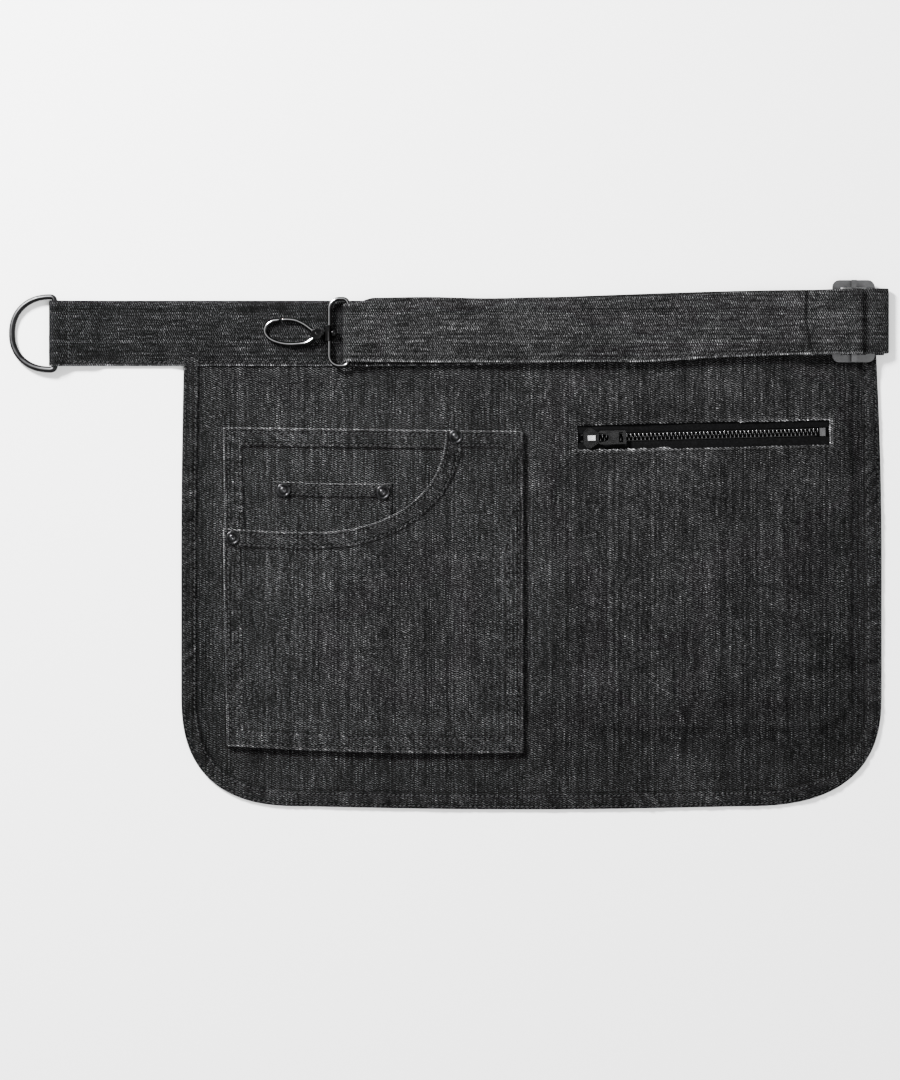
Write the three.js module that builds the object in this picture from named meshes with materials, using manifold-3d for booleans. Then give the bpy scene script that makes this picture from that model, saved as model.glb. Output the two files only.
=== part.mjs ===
// Waist apron in washed denim, lying flat with its front up.
// Millimetres. +X runs along the waistband, +Y up the apron and +Z off the table. While the pieces
// are made, x = 0 is the middle of the panel, y = 0 the lower edge of the waistband at its tab and
// z = 0 the table. The group moves at the end, so that its box stands on the origin.

import * as THREE from "three";
import { mergeVertices } from "three/addons/utils/BufferGeometryUtils.js";
import Module from "manifold-3d";

const wasm = await Module();
wasm.setup();

// Cloth
const PLY = 1; // one ply of denim
const GAP = 0.3; // clearance between pieces that touch
const STRAP_THICKNESS = 2; // two plies sewn together
const BELT_WIDTH = 42; // waistband and strap

// Panel, measured below the waistband
const PANEL_WIDTH = 448.8;
const PANEL_DROP = 284;
const PANEL_BOW = 2; // how far the lower edge bows down
const SIDE_FLARE_DEPTH = 125; // the sides flare out over this depth
const LEFT_FLARE = 1.6;
const RIGHT_FLARE = 3.6;
const LEFT_CORNER_RUN = 79;
const RIGHT_CORNER_RUN = 90;
const CORNER_RISE = 73;
const CORNER_POWER = 2.6; // 2 would be an ellipse
const HEM_WIDTH = 9;
const HEM_THICKNESS = 2.4;
const HEM_SLOPE = 2; // width of the step down from the hem
const PANEL_TONGUE = 14; // seam allowance inside the waistband
const PANEL_LEDGE = 3; // just below the waistband, where the cloth keeps its level
const PANEL_MARGIN = 6; // cloth past the outline before it is cut
const LEVEL_RUN = 18; // length over which the cloth changes level

// Waistband
const WAIST_RISE = 7; // how far it bows up to the right
const WAIST_RISE_FROM = -97;
const WAIST_RISE_TO = 191;
const WAIST_OVERHANG = 4.9; // past the panel on the right
const TAB_LENGTH = 82.4; // from the panel to the bar of the D ring
const TAB_STEP = 6.4; // where the tab opens round the panel
const TAB_TAIL = 24; // turned-under end behind the D ring
const TAB_TURN = 9.6; // from the bar until the front layer lies flat

// Strap
const STRAP_OFFSET = 2; // above the waistband's middle line
const STRAP_RISE = 5.7;
const STRAP_RISE_FROM = 31;
const STRAP_RISE_TO = 210;
const STRAP_TUCK = 3.6; // sewn into the waistband's end
const STRAP_REACH = 342.9; // from the waistband's end to the bar of the strap ring
const STRAP_PINCH = 2.7; // each edge, where the strap turns round the ring
const STRAP_PINCH_RUN = 9;
const STRAP_DIP = 1.5; // of its middle line at the ring
const RING_FOLD_RUN = 23.4; // from the ring until the strap lies flat again
const STRAP_TAIL = 13.5; // sewn end left of the tri-glide
const RAMP_RUN = 7.1; // length over which the strap climbs a bar
const FRONT_RAMP_RUN = 8.4; // length over which the front layer climbs the tail

// Tri-glide
const GLIDE_SETBACK = 19.6; // from the waistband's end to its middle bar
const GLIDE_LENGTH = 27.3;
const GLIDE_HEIGHT = 52.6;
const GLIDE_THICKNESS = 1.8;
const GLIDE_END_BAR = 5.4;
const GLIDE_MIDDLE_BAR = 3.2;
const GLIDE_CORNER = 4.5;
const GLIDE_CLEARANCE = 0.5; // beside the strap
const GLIDE_TURN = 1.3; // from the middle bar to the axis of the strap's turn
const GLIDE_DIVE = 1.95; // from the middle bar until the lower layer lies flat

// Rings
const D_RING_WIRE = 3.4;
const D_RING_BOW_WIDTH = 4.2;
const D_RING_RUN = 27.6; // centre line, bar to bow
const D_RING_HALF = 23.3; // centre line, half height
const D_RING_CORNER = 2.5;
const D_RING_POWER = 2.2;
const RING_WIRE = 2.6;
const RING_LENGTH = 12; // centre lines, strap bar to hook bar
const RING_HEIGHT = 42.9; // centre lines
const RING_HOOK_CORNER = 6.5;
const RING_STRAP_CORNER = 3.5;

// Swivel snap hook, measured from the ring's hook bar
const HOOK_SHIFT = -0.5; // along the bar
const COLLAR_RADIUS = 2.3;
const COLLAR_HALF = 5.1;
const COLLAR_OFFSET = 1.2; // of the collar's axis from the bar
const STUD_RADIUS = 1.2;
const STUD_HEAD_RADIUS = 2.6;
const STUD_HEAD_LENGTH = 2.6;
const PIVOT_X = -8.5;
const PIVOT_Y = -0.6;
const BOSS_RADIUS = 3.5;
const EYE_RADIUS = 2.6;
const EYE_THICKNESS = 1.6;
const CHEEK = 1;
const PIN_RADIUS = 1;
const HOOK_WIRE = 2.6;
const HOOK_SHOULDER = 3.8; // thicker first stretch of the lower arm
const HOOK_SHOULDER_SHARE = 0.15; // of the arm's points
const HOOK_REACH = 41.3; // hook bar to the middle of the bow
const HOOK_HALF = 7.7; // half height of the loop, centre lines
const GATE_WIDTH = 2.4;
const GATE_OPENING = 25; // degrees
const GATE_TIP_GAP = 1.1;

// Centre line of the hook's lower arm and bow, from the boss round to its nose, and of its gate.
// Shares of the hook's reach along x and of the loop's half height along y.
const HOOK_LINE = [
  { along: 0.25, up: -0.45 },
  { along: 0.334, up: -0.77 },
  { along: 0.415, up: -0.87 },
  { along: 0.5, up: -0.91 },
  { along: 0.6, up: -0.93 },
  { along: 0.707, up: -0.89 },
  { along: 0.82, up: -0.74 },
  { along: 0.915, up: -0.5 },
  { along: 0.98, up: -0.14 },
  { along: 1, up: 0.25 },
  { along: 0.965, up: 0.7 },
  { along: 0.885, up: 0.98 },
  { along: 0.775, up: 1.1 },
];
const GATE_LINE = [
  { along: 0.22, up: 0 },
  { along: 0.3, up: 0.36 },
  { along: 0.4, up: 0.74 },
  { along: 0.52, up: 1.03 },
  { along: 0.64, up: 1.12 },
];

// Patch pocket, measured from its upper left corner
const POCKET_INSET = 26.8; // from the panel's widest left edge
const POCKET_LOW = 39; // below the waistband
const POCKET_SHARE = 0.4287; // of the panel's width
const POCKET_WIDTH = PANEL_WIDTH * POCKET_SHARE;
const POCKET_HEIGHT = 204.4;
const POCKET_TOP_FALL = 2.6; // across its width
const POCKET_BOTTOM_FALL = 4.3;
const POCKET_TUCK = 2.5; // lower left corner, drawn in
const POCKET_SAG = 2;
const POCKET_BORDER = 10.9; // turned-in edge
const POCKET_TOP_HEM = 12;
const POCKET_STEP = 6; // run of the front ply's steps
const SCOOP_FLAT = 55.8; // flat stretch of the curved opening
const SCOOP_RUN = 87; // its curved stretch
const SCOOP_DEPTH = 67.2;
const SCOOP_SAG = 2.4;
const SCOOP_POWER = 2.25;

// Coin pocket, measured from the patch pocket's corner
const COIN_X = 32.8;
const COIN_LOW = 34.5;
const COIN_WIDTH = 75.5;
const COIN_HEIGHT = 77;
const COIN_FALL = 1.4;
const COIN_HEM = 8;
const COIN_HEM_THICKNESS = 0.8;

// Rivets
const RIVET_RADIUS = 4.5;
const RIVET_HEIGHT = 1.7;
const RIVET_SHANK = 1.5;
const RIVET_EDGE = 0.5; // height of the cap's widest line
const COIN_RIVET_INSET = 6;
const SCOOP_RIVET_INSET = 6.2;

// A rivet's cap from its rim over its groove to its middle: shares of its radius and height.
const RIVET_CAP = [
  { out: 0.86, up: 0.75 },
  { out: 0.66, up: 0.75 },
  { out: 0.58, up: 0.46 },
  { out: 0.46, up: 0.8 },
  { out: 0.2, up: 1 },
];

// Zip, measured from the middle of its opening, and the bag behind it. The opening takes up what
// the pocket and the margins leave of the panel's width.
const POCKET_TO_BAG = 17;
const BAG_PAST_LEFT = 17.3; // past the opening
const BAG_PAST_RIGHT = 13.3;
const ZIP_EDGE_INSET = 32.7; // from the panel's widest right edge
const ZIP_MARGINS = POCKET_INSET + POCKET_TO_BAG + BAG_PAST_LEFT + ZIP_EDGE_INSET;
const ZIP_OPENING_LENGTH = PANEL_WIDTH - POCKET_WIDTH - ZIP_MARGINS;
const ZIP_OPENING_WIDTH = 16.3;
const ZIP_LOW = 44.2;
const ZIP_TILT = 1.53; // degrees
const TAPE_WIDTH = 9.1; // each half
const TAPE_OVERRUN = 4; // past each end of the opening
const CHAIN_HALF = 2.6;
const TOOTH_PITCH = 2.6;
const TOOTH_WIDTH = 1;
const TOOTH_SPINE = 0.7;
const TOOTH_REACH = 0.8; // past the middle of the chain
const CHAIN_START = 0.8; // left of the slider's middle
const TOOTH_THICKNESS = 2;
const SLIDER_FROM_END = 8.8; // from the opening's left end
const SLIDER_LENGTH = 9.2;
const SLIDER_WIDTH = 13;
const SLIDER_PLATE = 1;
const SLIDER_BACK_PLATE = 0.7;
const SLIDER_BACK_WIDTH = 9.6;
const BACK_PLATE_ROOM = 0.4; // below the teeth
const TAPE_ROOM = 0.2; // below the panel
const POST_RADIUS = 1.2;
const PULL_HINGE = 0.5; // from the slider's middle
const PULL_LENGTH = 22.1; // from its hinge, as the places along it
const PULL_NECK_END = 3.2;
const PULL_SHOULDER = 5.6;
const PULL_SLOT_START = 17.5;
const PULL_SLOT_END = 20.1;
const PULL_WIDTH = 8.8;
const PULL_THICKNESS = 1.2;
const PULL_NECK = 5.2;
const PULL_RIM = 1.4; // beside the window
const PULL_WINDOW = 6.6; // along the pull
const PULL_WINDOW_POWER = 2.2;
const BRIDGE_INNER = 1.2; // hinge to foot
const BRIDGE_FOOT = 1.2;
const BRIDGE_WIDTH = 3.2;
const BRIDGE_ROOM = 0.5; // above the pull
const BRIDGE_ROOF = 0.7;
const STOP_LENGTH = 3.6;
const STOP_FROM_END = 3.5;
const TOP_STOP_LENGTH = 1.6;
const TOP_STOP_WIDTH = 1;

// One side of the slider's plates: shares of their half length and half width.
const SLIDER_SIDE = [
  { along: -1, out: 0.6 },
  { along: -0.5, out: 1 },
  { along: 0, out: 1 },
  { along: 1, out: 0.55 },
];

// Bag behind the zip, up and down
const BAG_TOP = 26; // below the waistband
const BAG_BOTTOM = 231;
const BAG_CORNER = 25;
const BAG_RIM = 6;
const BAG_ROOM = 0.4;
const BAG_MOUTH = 12;
const BAG_EDGE_RUN = 8; // level change between the bag and the right hem
const ZIP_LEVEL_RUN = 10;

// Fineness
const STRIDE = 24; // longest step along the cloth
const POCKET_STRIDE = 48; // longest step across the patch pocket
const PANEL_STRIDE = 60; // longest step down the panel
const ROD_SIDES = 8;
const ROUND_SIDES = 16;
const HOLE_SIDES = 10;
const SIDE_STEPS = 4;
const BOTTOM_STEPS = 8;
const POCKET_STEPS = 6;
const ARC_STEPS = 6;
const CORNER_STEPS = 9;
const BOW_STEPS = 8;
const SMALL_STEPS = 4; // round a corner of wire or plate
const JOIN = 0.05; // overlap of stretches that are joined
const MERGE = 1e-4;

// Levels of the layers
const TONGUE_Z = PLY + GAP;
const WAIST_FRONT_Z = TONGUE_Z + PLY + GAP;
const WAIST_TOP = WAIST_FRONT_Z + PLY;
const STRAP_LOWER_Z = WAIST_TOP + GAP + STRAP_THICKNESS / 2;
const LAYER = STRAP_THICKNESS + GAP;
const STRAP_UPPER_Z = STRAP_LOWER_Z + LAYER;
const GLIDE_TOP = WAIST_TOP + GAP + GLIDE_THICKNESS;
const OVER_BAR_Z = GLIDE_TOP + GAP + STRAP_THICKNESS / 2;
const BAG_LEVEL = PLY + BAG_ROOM + PLY + GAP;
const TOOTH_HALF = TOOTH_THICKNESS / 2;
const ZIP_MIDDLE_Z = PLY + GAP + SLIDER_BACK_PLATE + BACK_PLATE_ROOM + TOOTH_HALF;
const ZIP_LEVEL = ZIP_MIDDLE_Z + PLY / 2 + TAPE_ROOM;

// Places along the waistband
const LEFT_EDGE = -PANEL_WIDTH / 2 + LEFT_FLARE;
const RIGHT_EDGE = PANEL_WIDTH / 2 - RIGHT_FLARE;
const WAIST_END = RIGHT_EDGE + WAIST_OVERHANG;
const D_BAR_X = LEFT_EDGE - TAB_LENGTH;
const RING_BAR_X = WAIST_END - STRAP_REACH;
const GLIDE_X = WAIST_END - GLIDE_SETBACK;
const ZIP_X = PANEL_WIDTH / 2 - ZIP_EDGE_INSET - ZIP_OPENING_LENGTH / 2;
const POCKET_X = -PANEL_WIDTH / 2 + POCKET_INSET;

const radians = THREE.MathUtils.degToRad;
const mix = THREE.MathUtils.lerp;
const smooth = THREE.MathUtils.smoothstep;
const clamp = THREE.MathUtils.clamp;
const at = (x, y, z = 0) => new THREE.Vector3(x, y, z);
const shares = (steps) => Array.from({ length: steps + 1 }, (_, i) => i / steps);
const ordered = (a, b) => [Math.min(a, b), Math.max(a, b)];

// How far the waistband has bowed up at x.
function waistRise(x) {
  return WAIST_RISE * smooth(x, WAIST_RISE_FROM, WAIST_RISE_TO);
}

// Middle line of the strap at x.
function strapMiddle(x) {
  return BELT_WIDTH / 2 + STRAP_OFFSET + STRAP_RISE * smooth(x, STRAP_RISE_FROM, STRAP_RISE_TO);
}

// SOLIDS

// A closed mesh as a solid for joining and cutting.
function solid(geometry) {
  const bare = new THREE.BufferGeometry();
  bare.setAttribute("position", geometry.getAttribute("position"));
  bare.setIndex(geometry.getIndex());
  const merged = mergeVertices(bare, MERGE);
  return new wasm.Manifold(
    new wasm.Mesh({
      numProp: 3,
      vertProperties: merged.getAttribute("position").array,
      triVerts: new Uint32Array(merged.getIndex().array),
    }),
  );
}

// The mesh of a solid.
function geometryOf(body) {
  const mesh = body.getMesh();
  const geometry = new THREE.BufferGeometry();
  geometry.setAttribute("position", new THREE.BufferAttribute(mesh.vertProperties.slice(), 3));
  geometry.setIndex(new THREE.BufferAttribute(mesh.triVerts.slice(), 1));
  geometry.computeVertexNormals();
  return geometry;
}

function join(...parts) {
  return geometryOf(wasm.Manifold.union(parts.map(solid)));
}

function cut(base, ...tools) {
  return geometryOf(solid(base).subtract(wasm.Manifold.union(tools.map(solid))));
}

function common(first, second) {
  return geometryOf(solid(first).intersect(solid(second)));
}

// A closed skin over rings of points, with flat ends unless it closes on itself.
function loft(rings, closed = false) {
  const count = rings[0].length;
  const spans = closed ? rings.length : rings.length - 1;
  const index = [];
  for (let ring = 0; ring < spans; ring++) {
    const here = ring * count;
    const next = ((ring + 1) % rings.length) * count;
    for (let side = 0; side < count; side++) {
      const after = (side + 1) % count;
      index.push(here + side, here + after, next + after);
      index.push(here + side, next + after, next + side);
    }
  }
  const end = (rings.length - 1) * count;
  for (let side = 1; !closed && side < count - 1; side++) {
    index.push(0, side + 1, side);
    index.push(end, end + side, end + side + 1);
  }
  const points = rings.flat();
  let volume = 0;
  for (let corner = 0; corner < index.length; corner += 3) {
    const [a, b, c] = [0, 1, 2].map((step) => points[index[corner + step]]);
    volume += a.dot(at(0, 0).crossVectors(b, c));
  }
  if (volume < 0) {
    index.reverse();
  }
  const geometry = new THREE.BufferGeometry().setFromPoints(points);
  geometry.setIndex(index);
  geometry.computeVertexNormals();
  return geometry;
}

// Unit directions across a path at each point, in the plane whose normal is given. Their length
// grows at a corner, so that an offset path keeps its distance.
function across(path, normal, closed = false) {
  const count = path.length;
  return path.map((point, i) => {
    const before = closed || i > 0 ? path[(i - 1 + count) % count] : null;
    const after = closed || i < count - 1 ? path[(i + 1) % count] : null;
    const into = at(0, 0);
    const out = at(0, 0);
    if (before) {
      into.subVectors(point, before).normalize();
    }
    if (after) {
      out.subVectors(after, point).normalize();
    }
    const along = at(0, 0).addVectors(into, out).normalize();
    const half = along.dot(before ? into : out);
    return at(0, 0).crossVectors(normal, along).divideScalar(half);
  });
}

// A round rod along a path in the XY plane. sizeAt gives its half width and half thickness.
function rod(path, sizeAt, closed = false, sides = ROD_SIDES) {
  const normals = across(path, at(0, 0, 1), closed);
  const rings = path.map((point, i) => {
    const size = sizeAt(i / (path.length - 1));
    return Array.from({ length: sides }, (_, side) => {
      const turn = (2 * Math.PI * (side + 0.5)) / sides;
      return point
        .clone()
        .addScaledVector(normals[i], size.half * Math.cos(turn))
        .add(at(0, 0, size.thick * Math.sin(turn)));
    });
  });
  return loft(rings, closed);
}

// A strip of cloth carried along a path in the XZ plane. Each path point has its half thickness,
// and middle and half give the strip's place and half width in Y at that point.
function strip(path, middle, half) {
  const normals = across(path.map((row) => at(row.x, 0, row.z)), at(0, 1, 0));
  const rings = path.map((row, i) => {
    const lift = normals[i].clone().multiplyScalar(row.half);
    const [low, high] = [middle(row) - half(row), middle(row) + half(row)];
    return [
      at(row.x - lift.x, low, row.z - lift.z),
      at(row.x - lift.x, high, row.z - lift.z),
      at(row.x + lift.x, high, row.z + lift.z),
      at(row.x + lift.x, low, row.z + lift.z),
    ];
  });
  return loft(rings);
}

// A flat plate with the outline given, between two heights.
function plate(outline, low, high) {
  const shape = new THREE.Shape(outline.map((point) => new THREE.Vector2(point.x, point.y)));
  const geometry = new THREE.ExtrudeGeometry(shape, { depth: high - low, bevelEnabled: false });
  return geometry.translate(0, 0, low);
}

function block(left, right, near, far, low, high) {
  const geometry = new THREE.BoxGeometry(right - left, far - near, high - low);
  return geometry.translate((left + right) / 2, (near + far) / 2, (low + high) / 2);
}

// An upright cylinder.
function drum(radius, x, y, low, high, sides = ROUND_SIDES) {
  const geometry = new THREE.CylinderGeometry(radius, radius, high - low, sides);
  return geometry.rotateX(Math.PI / 2).translate(x, y, (low + high) / 2);
}

// A cylinder along X.
function shaft(radius, from, to, y, z, sides = ROUND_SIDES) {
  const geometry = new THREE.CylinderGeometry(radius, radius, to - from, sides);
  return geometry.rotateZ(Math.PI / 2).translate((from + to) / 2, y, z);
}

// Values from the first break to the last, with every break and no step longer than the stride.
function ruled(breaks, stride) {
  const values = [breaks[0]];
  breaks.slice(1).forEach((stop, i) => {
    const start = breaks[i];
    const steps = Math.ceil((stop - start) / stride);
    for (let step = 1; step <= steps; step++) {
      values.push(mix(start, stop, step / steps));
    }
  });
  return values;
}

// One ply over a grid: its underside is at floorAt(x, y), and place puts a grid point in plan.
function ply(columns, rows, floorAt, place) {
  const wide = rows.length;
  const under = columns.flatMap((x) => rows.map((y) => place(x, y).setZ(floorAt(x, y))));
  const over = under.map((point) => point.clone().add(at(0, 0, PLY)));
  const size = under.length;
  const index = [];
  for (let i = 0; i < columns.length - 1; i++) {
    for (let j = 0; j < wide - 1; j++) {
      const a = i * wide + j;
      const [b, c, d] = [a + wide, a + wide + 1, a + 1];
      index.push(size + a, size + b, size + c, size + a, size + c, size + d);
      index.push(a, c, b, a, d, c);
    }
  }
  const last = (columns.length - 1) * wide;
  const rim = [
    ...columns.map((_, i) => i * wide),
    ...rows.slice(1).map((_, j) => last + j + 1),
    ...columns.slice(1).map((_, i) => last + wide - 1 - (i + 1) * wide),
    ...rows.slice(1, -1).map((_, j) => wide - 2 - j),
  ];
  rim.forEach((here, i) => {
    const next = rim[(i + 1) % rim.length];
    index.push(here, next, size + next, here, size + next, size + here);
  });
  const geometry = new THREE.BufferGeometry().setFromPoints([...under, ...over]);
  geometry.setIndex(index);
  return geometry;
}

// Superellipse quarter, from the end of its run along x to the end of its rise along y.
function quarter(run, rise, power, steps = CORNER_STEPS) {
  return shares(steps).map((share) => {
    const turn = (Math.PI / 2) * share;
    const [along, up] = [Math.max(Math.cos(turn), 0), Math.sin(turn)];
    return at(run * along ** (2 / power), rise * up ** (2 / power));
  });
}

// Points of an arc about (x, z) in the XZ plane, in degrees from +X towards +Z.
function bend(x, z, radius, from, to, half, steps = ARC_STEPS) {
  return shares(steps).map((share) => {
    const turn = radians(mix(from, to, share));
    return { x: x + radius * Math.cos(turn), z: z + radius * Math.sin(turn), half };
  });
}

// THE PANEL AND WHAT IS SEWN ON IT

// Side of the panel at a depth below the waistband.
function sideX(side, depth) {
  const flare = side < 0 ? LEFT_FLARE : RIGHT_FLARE;
  const left = 1 - clamp(depth / SIDE_FLARE_DEPTH, 0, 1);
  return side * (PANEL_WIDTH / 2 - flare * left ** 2);
}

// The panel's hemmed edge: down the left side, along the bottom and up the right side.
function hemLine() {
  const depths = ruled([PLY, SIDE_FLARE_DEPTH], SIDE_FLARE_DEPTH / SIDE_STEPS);
  const straight = PANEL_DROP - PANEL_BOW;
  const corner = (side, run) => {
    const turn = quarter(run, CORNER_RISE, CORNER_POWER);
    return turn.map((p) => at(side * (PANEL_WIDTH / 2 - run + p.x), CORNER_RISE - straight - p.y));
  };
  const left = corner(-1, LEFT_CORNER_RUN);
  const right = corner(1, RIGHT_CORNER_RUN).reverse();
  const [start, end] = [left[left.length - 1].x, right[0].x];
  const bottom = shares(BOTTOM_STEPS)
    .slice(1, -1)
    .map((share) => {
      const bow = PANEL_BOW * Math.sin(Math.PI * share);
      return at(mix(start, end, share), -straight - bow);
    });
  const rise = waistRise(RIGHT_EDGE);
  const rightSide = depths.map((depth) =>
    at(sideX(1, depth), rise * (1 - depth / SIDE_FLARE_DEPTH) - depth),
  );
  return [
    ...depths.map((depth) => at(sideX(-1, depth), -depth)),
    ...left,
    ...bottom,
    ...right,
    ...rightSide.reverse(),
  ];
}

// 0 to 1 where a value passes from a start over a run.
const ramp = (value, start, run) => clamp((value - start) / run, 0, 1);

// How much a level zone shows at a value: 1 between low and high, and 0 past the run outside.
const zone = (value, low, high, run) =>
  Math.min(ramp(value, low - run, run), ramp(-value, -high - run, run));

const BAG_X = {
  low: ZIP_X - ZIP_OPENING_LENGTH / 2 - BAG_PAST_LEFT,
  high: ZIP_X + ZIP_OPENING_LENGTH / 2 + BAG_PAST_RIGHT,
};
const ZIP_LIFT_X = ZIP_OPENING_LENGTH / 2 + TAPE_OVERRUN + GAP;
const ZIP_LIFT_Y = CHAIN_HALF + GAP + TAPE_WIDTH + ZIP_LEVEL_RUN / 2;

// Underside of the panel's cloth at x and at y below the waistband's edge there.
function panelFloor(x, y) {
  const tongue = TONGUE_Z * ramp(y, -PANEL_LEDGE - LEVEL_RUN, LEVEL_RUN);
  const side = Math.min(
    ramp(x, BAG_X.low - POCKET_TO_BAG, POCKET_TO_BAG),
    ramp(-x, -BAG_X.high - BAG_EDGE_RUN, BAG_EDGE_RUN),
  );
  const down = Math.min(
    ramp(y, -BAG_BOTTOM - LEVEL_RUN, LEVEL_RUN),
    ramp(-y, PANEL_LEDGE, LEVEL_RUN),
  );
  const alongZip = zone(x, ZIP_X - ZIP_LIFT_X, ZIP_X + ZIP_LIFT_X, ZIP_LEVEL_RUN);
  const acrossZip = zone(y, -ZIP_LOW - ZIP_LIFT_Y, -ZIP_LOW + ZIP_LIFT_Y, ZIP_LEVEL_RUN);
  const zip = (ZIP_LEVEL - BAG_LEVEL) * alongZip * acrossZip;
  return Math.max(tongue, BAG_LEVEL * side * down) + zip;
}

// Moves a point of the panel up with the bow of the waistband, less and less further down.
function panelPlace(x, y) {
  const share = clamp(1 + (y + ZIP_LOW / 2) / (2 * ZIP_LOW), 0, 1);
  return at(x, y + waistRise(x) * share);
}

// Turns and moves something made about the middle of the zip's opening.
function toZip(geometry) {
  return geometry.rotateZ(radians(ZIP_TILT)).translate(ZIP_X, -ZIP_LOW, 0);
}

// Places of the rivets, each with the height of the cloth under its cap.
const borderTop = TONGUE_Z + 3 * PLY + GAP;
const coinHemTop = TONGUE_Z + 2 * PLY + GAP + COIN_HEM_THICKNESS;
const scoopEnd = SCOOP_FLAT + SCOOP_RUN;
const scoopStart = SCOOP_DEPTH - SCOOP_SAG;
const coinRight = COIN_X + COIN_WIDTH;
const RIVETS = [
  {
    name: "rivet_scoop_low",
    x: SCOOP_RIVET_INSET,
    y: -scoopStart - SCOOP_RIVET_INSET,
    seat: borderTop,
  },
  {
    name: "rivet_scoop_high",
    x: scoopEnd + SCOOP_RIVET_INSET,
    y: -SCOOP_RIVET_INSET,
    seat: borderTop,
  },
  {
    name: "rivet_coin_left",
    x: COIN_X + COIN_RIVET_INSET,
    y: -COIN_LOW - COIN_RIVET_INSET,
    seat: coinHemTop,
  },
  {
    name: "rivet_coin_right",
    x: coinRight - COIN_RIVET_INSET,
    y: -COIN_LOW - COIN_FALL - COIN_RIVET_INSET,
    seat: coinHemTop,
  },
];

// Holes for the rivets' shanks through every ply.
function rivetHoles() {
  const radius = RIVET_SHANK + GAP;
  return RIVETS.map(({ x, y }) =>
    drum(radius, POCKET_X + x, y - POCKET_LOW, -PLY, borderTop + PLY, HOLE_SIDES),
  );
}

function apronBody() {
  const line = hemLine();
  const columns = ruled(
    [
      -PANEL_WIDTH / 2 - PANEL_MARGIN,
      BAG_X.low - POCKET_TO_BAG,
      BAG_X.low,
      ZIP_X - ZIP_LIFT_X,
      ZIP_X + ZIP_LIFT_X,
      BAG_X.high,
      BAG_X.high + BAG_EDGE_RUN,
      PANEL_WIDTH / 2 + PANEL_MARGIN,
    ],
    STRIDE,
  );
  const rows = ruled(
    [
      -PANEL_DROP - PANEL_MARGIN,
      -BAG_BOTTOM - LEVEL_RUN,
      -BAG_BOTTOM,
      -ZIP_LOW - ZIP_LIFT_Y - ZIP_LEVEL_RUN,
      -ZIP_LOW - ZIP_LIFT_Y,
      -ZIP_LOW + ZIP_LIFT_Y,
      -PANEL_LEDGE - LEVEL_RUN,
      -PANEL_LEDGE,
      PANEL_TONGUE,
    ],
    PANEL_STRIDE,
  );
  const cloth = ply(columns, rows, panelFloor, panelPlace);
  const top = PANEL_TONGUE + WAIST_RISE + PANEL_MARGIN;
  const outline = [at(line[0].x, top), ...line, at(line[line.length - 1].x, top)];
  const panel = common(cloth, plate(outline, -PLY, ZIP_LEVEL + 2 * PLY));
  const normals = across(line, at(0, 0, 1));
  const hem = loft(
    line.map((point, i) => {
      const inner = (distance, z) => {
        const moved = point.clone().addScaledVector(normals[i], distance);
        return moved.setZ(panelFloor(point.x, point.y) + z);
      };
      return [
        inner(0, JOIN),
        inner(HEM_WIDTH + HEM_SLOPE, JOIN),
        inner(HEM_WIDTH + HEM_SLOPE, PLY + JOIN),
        inner(HEM_WIDTH, HEM_THICKNESS),
        inner(0, HEM_THICKNESS),
      ];
    }),
  );
  const [long, wide] = [ZIP_OPENING_LENGTH / 2, ZIP_OPENING_WIDTH / 2];
  const slot = toZip(block(-long, long, -wide, wide, 0, ZIP_LEVEL + 2 * PLY));
  return cut(join(panel, hem), slot, ...rivetHoles());
}

// The bag that hangs behind the zip, open at a mouth under it.
function zipBag() {
  const outline = (inset) => {
    const [left, right] = [BAG_X.low + inset, BAG_X.high - inset];
    const [low, high] = [-BAG_BOTTOM + inset, -BAG_TOP - inset];
    const radius = BAG_CORNER - inset;
    const turn = quarter(radius, radius, 2, ARC_STEPS);
    const rightTurn = turn.map((p) => at(right - radius + p.x, low + radius - p.y));
    const leftTurn = turn.map((p) => at(left + radius - p.x, low + radius - p.y));
    return [at(left, high), ...leftTurn, ...rightTurn.reverse(), at(right, high)];
  };
  const whole = plate(outline(0), 0, 2 * PLY + BAG_ROOM);
  const hollow = plate(outline(BAG_RIM), PLY, PLY + BAG_ROOM);
  const long = ZIP_OPENING_LENGTH / 2;
  const mouth = toZip(block(-long, long, -BAG_MOUTH / 2, BAG_MOUTH / 2, PLY, BAG_LEVEL));
  return cut(whole, hollow, mouth);
}

// Outline of the patch pocket from its upper left corner, round by the bottom.
function pocketOutline(inset = 0) {
  const low = shares(POCKET_STEPS).map((share) => {
    const sag = POCKET_BOTTOM_FALL * share + POCKET_SAG * Math.sin(Math.PI * share);
    return at(mix(POCKET_TUCK + inset, POCKET_WIDTH - inset, share), -POCKET_HEIGHT - sag + inset);
  });
  return [at(inset, -inset), ...low, at(POCKET_WIDTH - inset, -POCKET_TOP_FALL - inset)];
}

const toPocket = (geometry) => geometry.translate(POCKET_X, -POCKET_LOW, 0);

function pocketBack() {
  const back = plate(pocketOutline(), TONGUE_Z, TONGUE_Z + 2 * PLY);
  const low = pocketOutline(POCKET_BORDER);
  low[0].y = -POCKET_TOP_HEM;
  low[low.length - 1].y = -POCKET_TOP_HEM - POCKET_TOP_FALL;
  const field = plate(low, TONGUE_Z + PLY, TONGUE_Z + 3 * PLY);
  return cut(toPocket(cut(back, field)), ...rivetHoles());
}

// The curved opening, from the left side to the top edge.
function scoopLine() {
  const flat = shares(SMALL_STEPS).map((share) =>
    at(SCOOP_FLAT * share, -SCOOP_DEPTH + SCOOP_SAG * (1 - share) ** 2),
  );
  const curve = quarter(SCOOP_RUN, SCOOP_DEPTH, SCOOP_POWER).reverse();
  return [...flat.slice(0, -1), ...curve.map((p) => at(SCOOP_FLAT + p.x, -p.y))];
}

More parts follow.
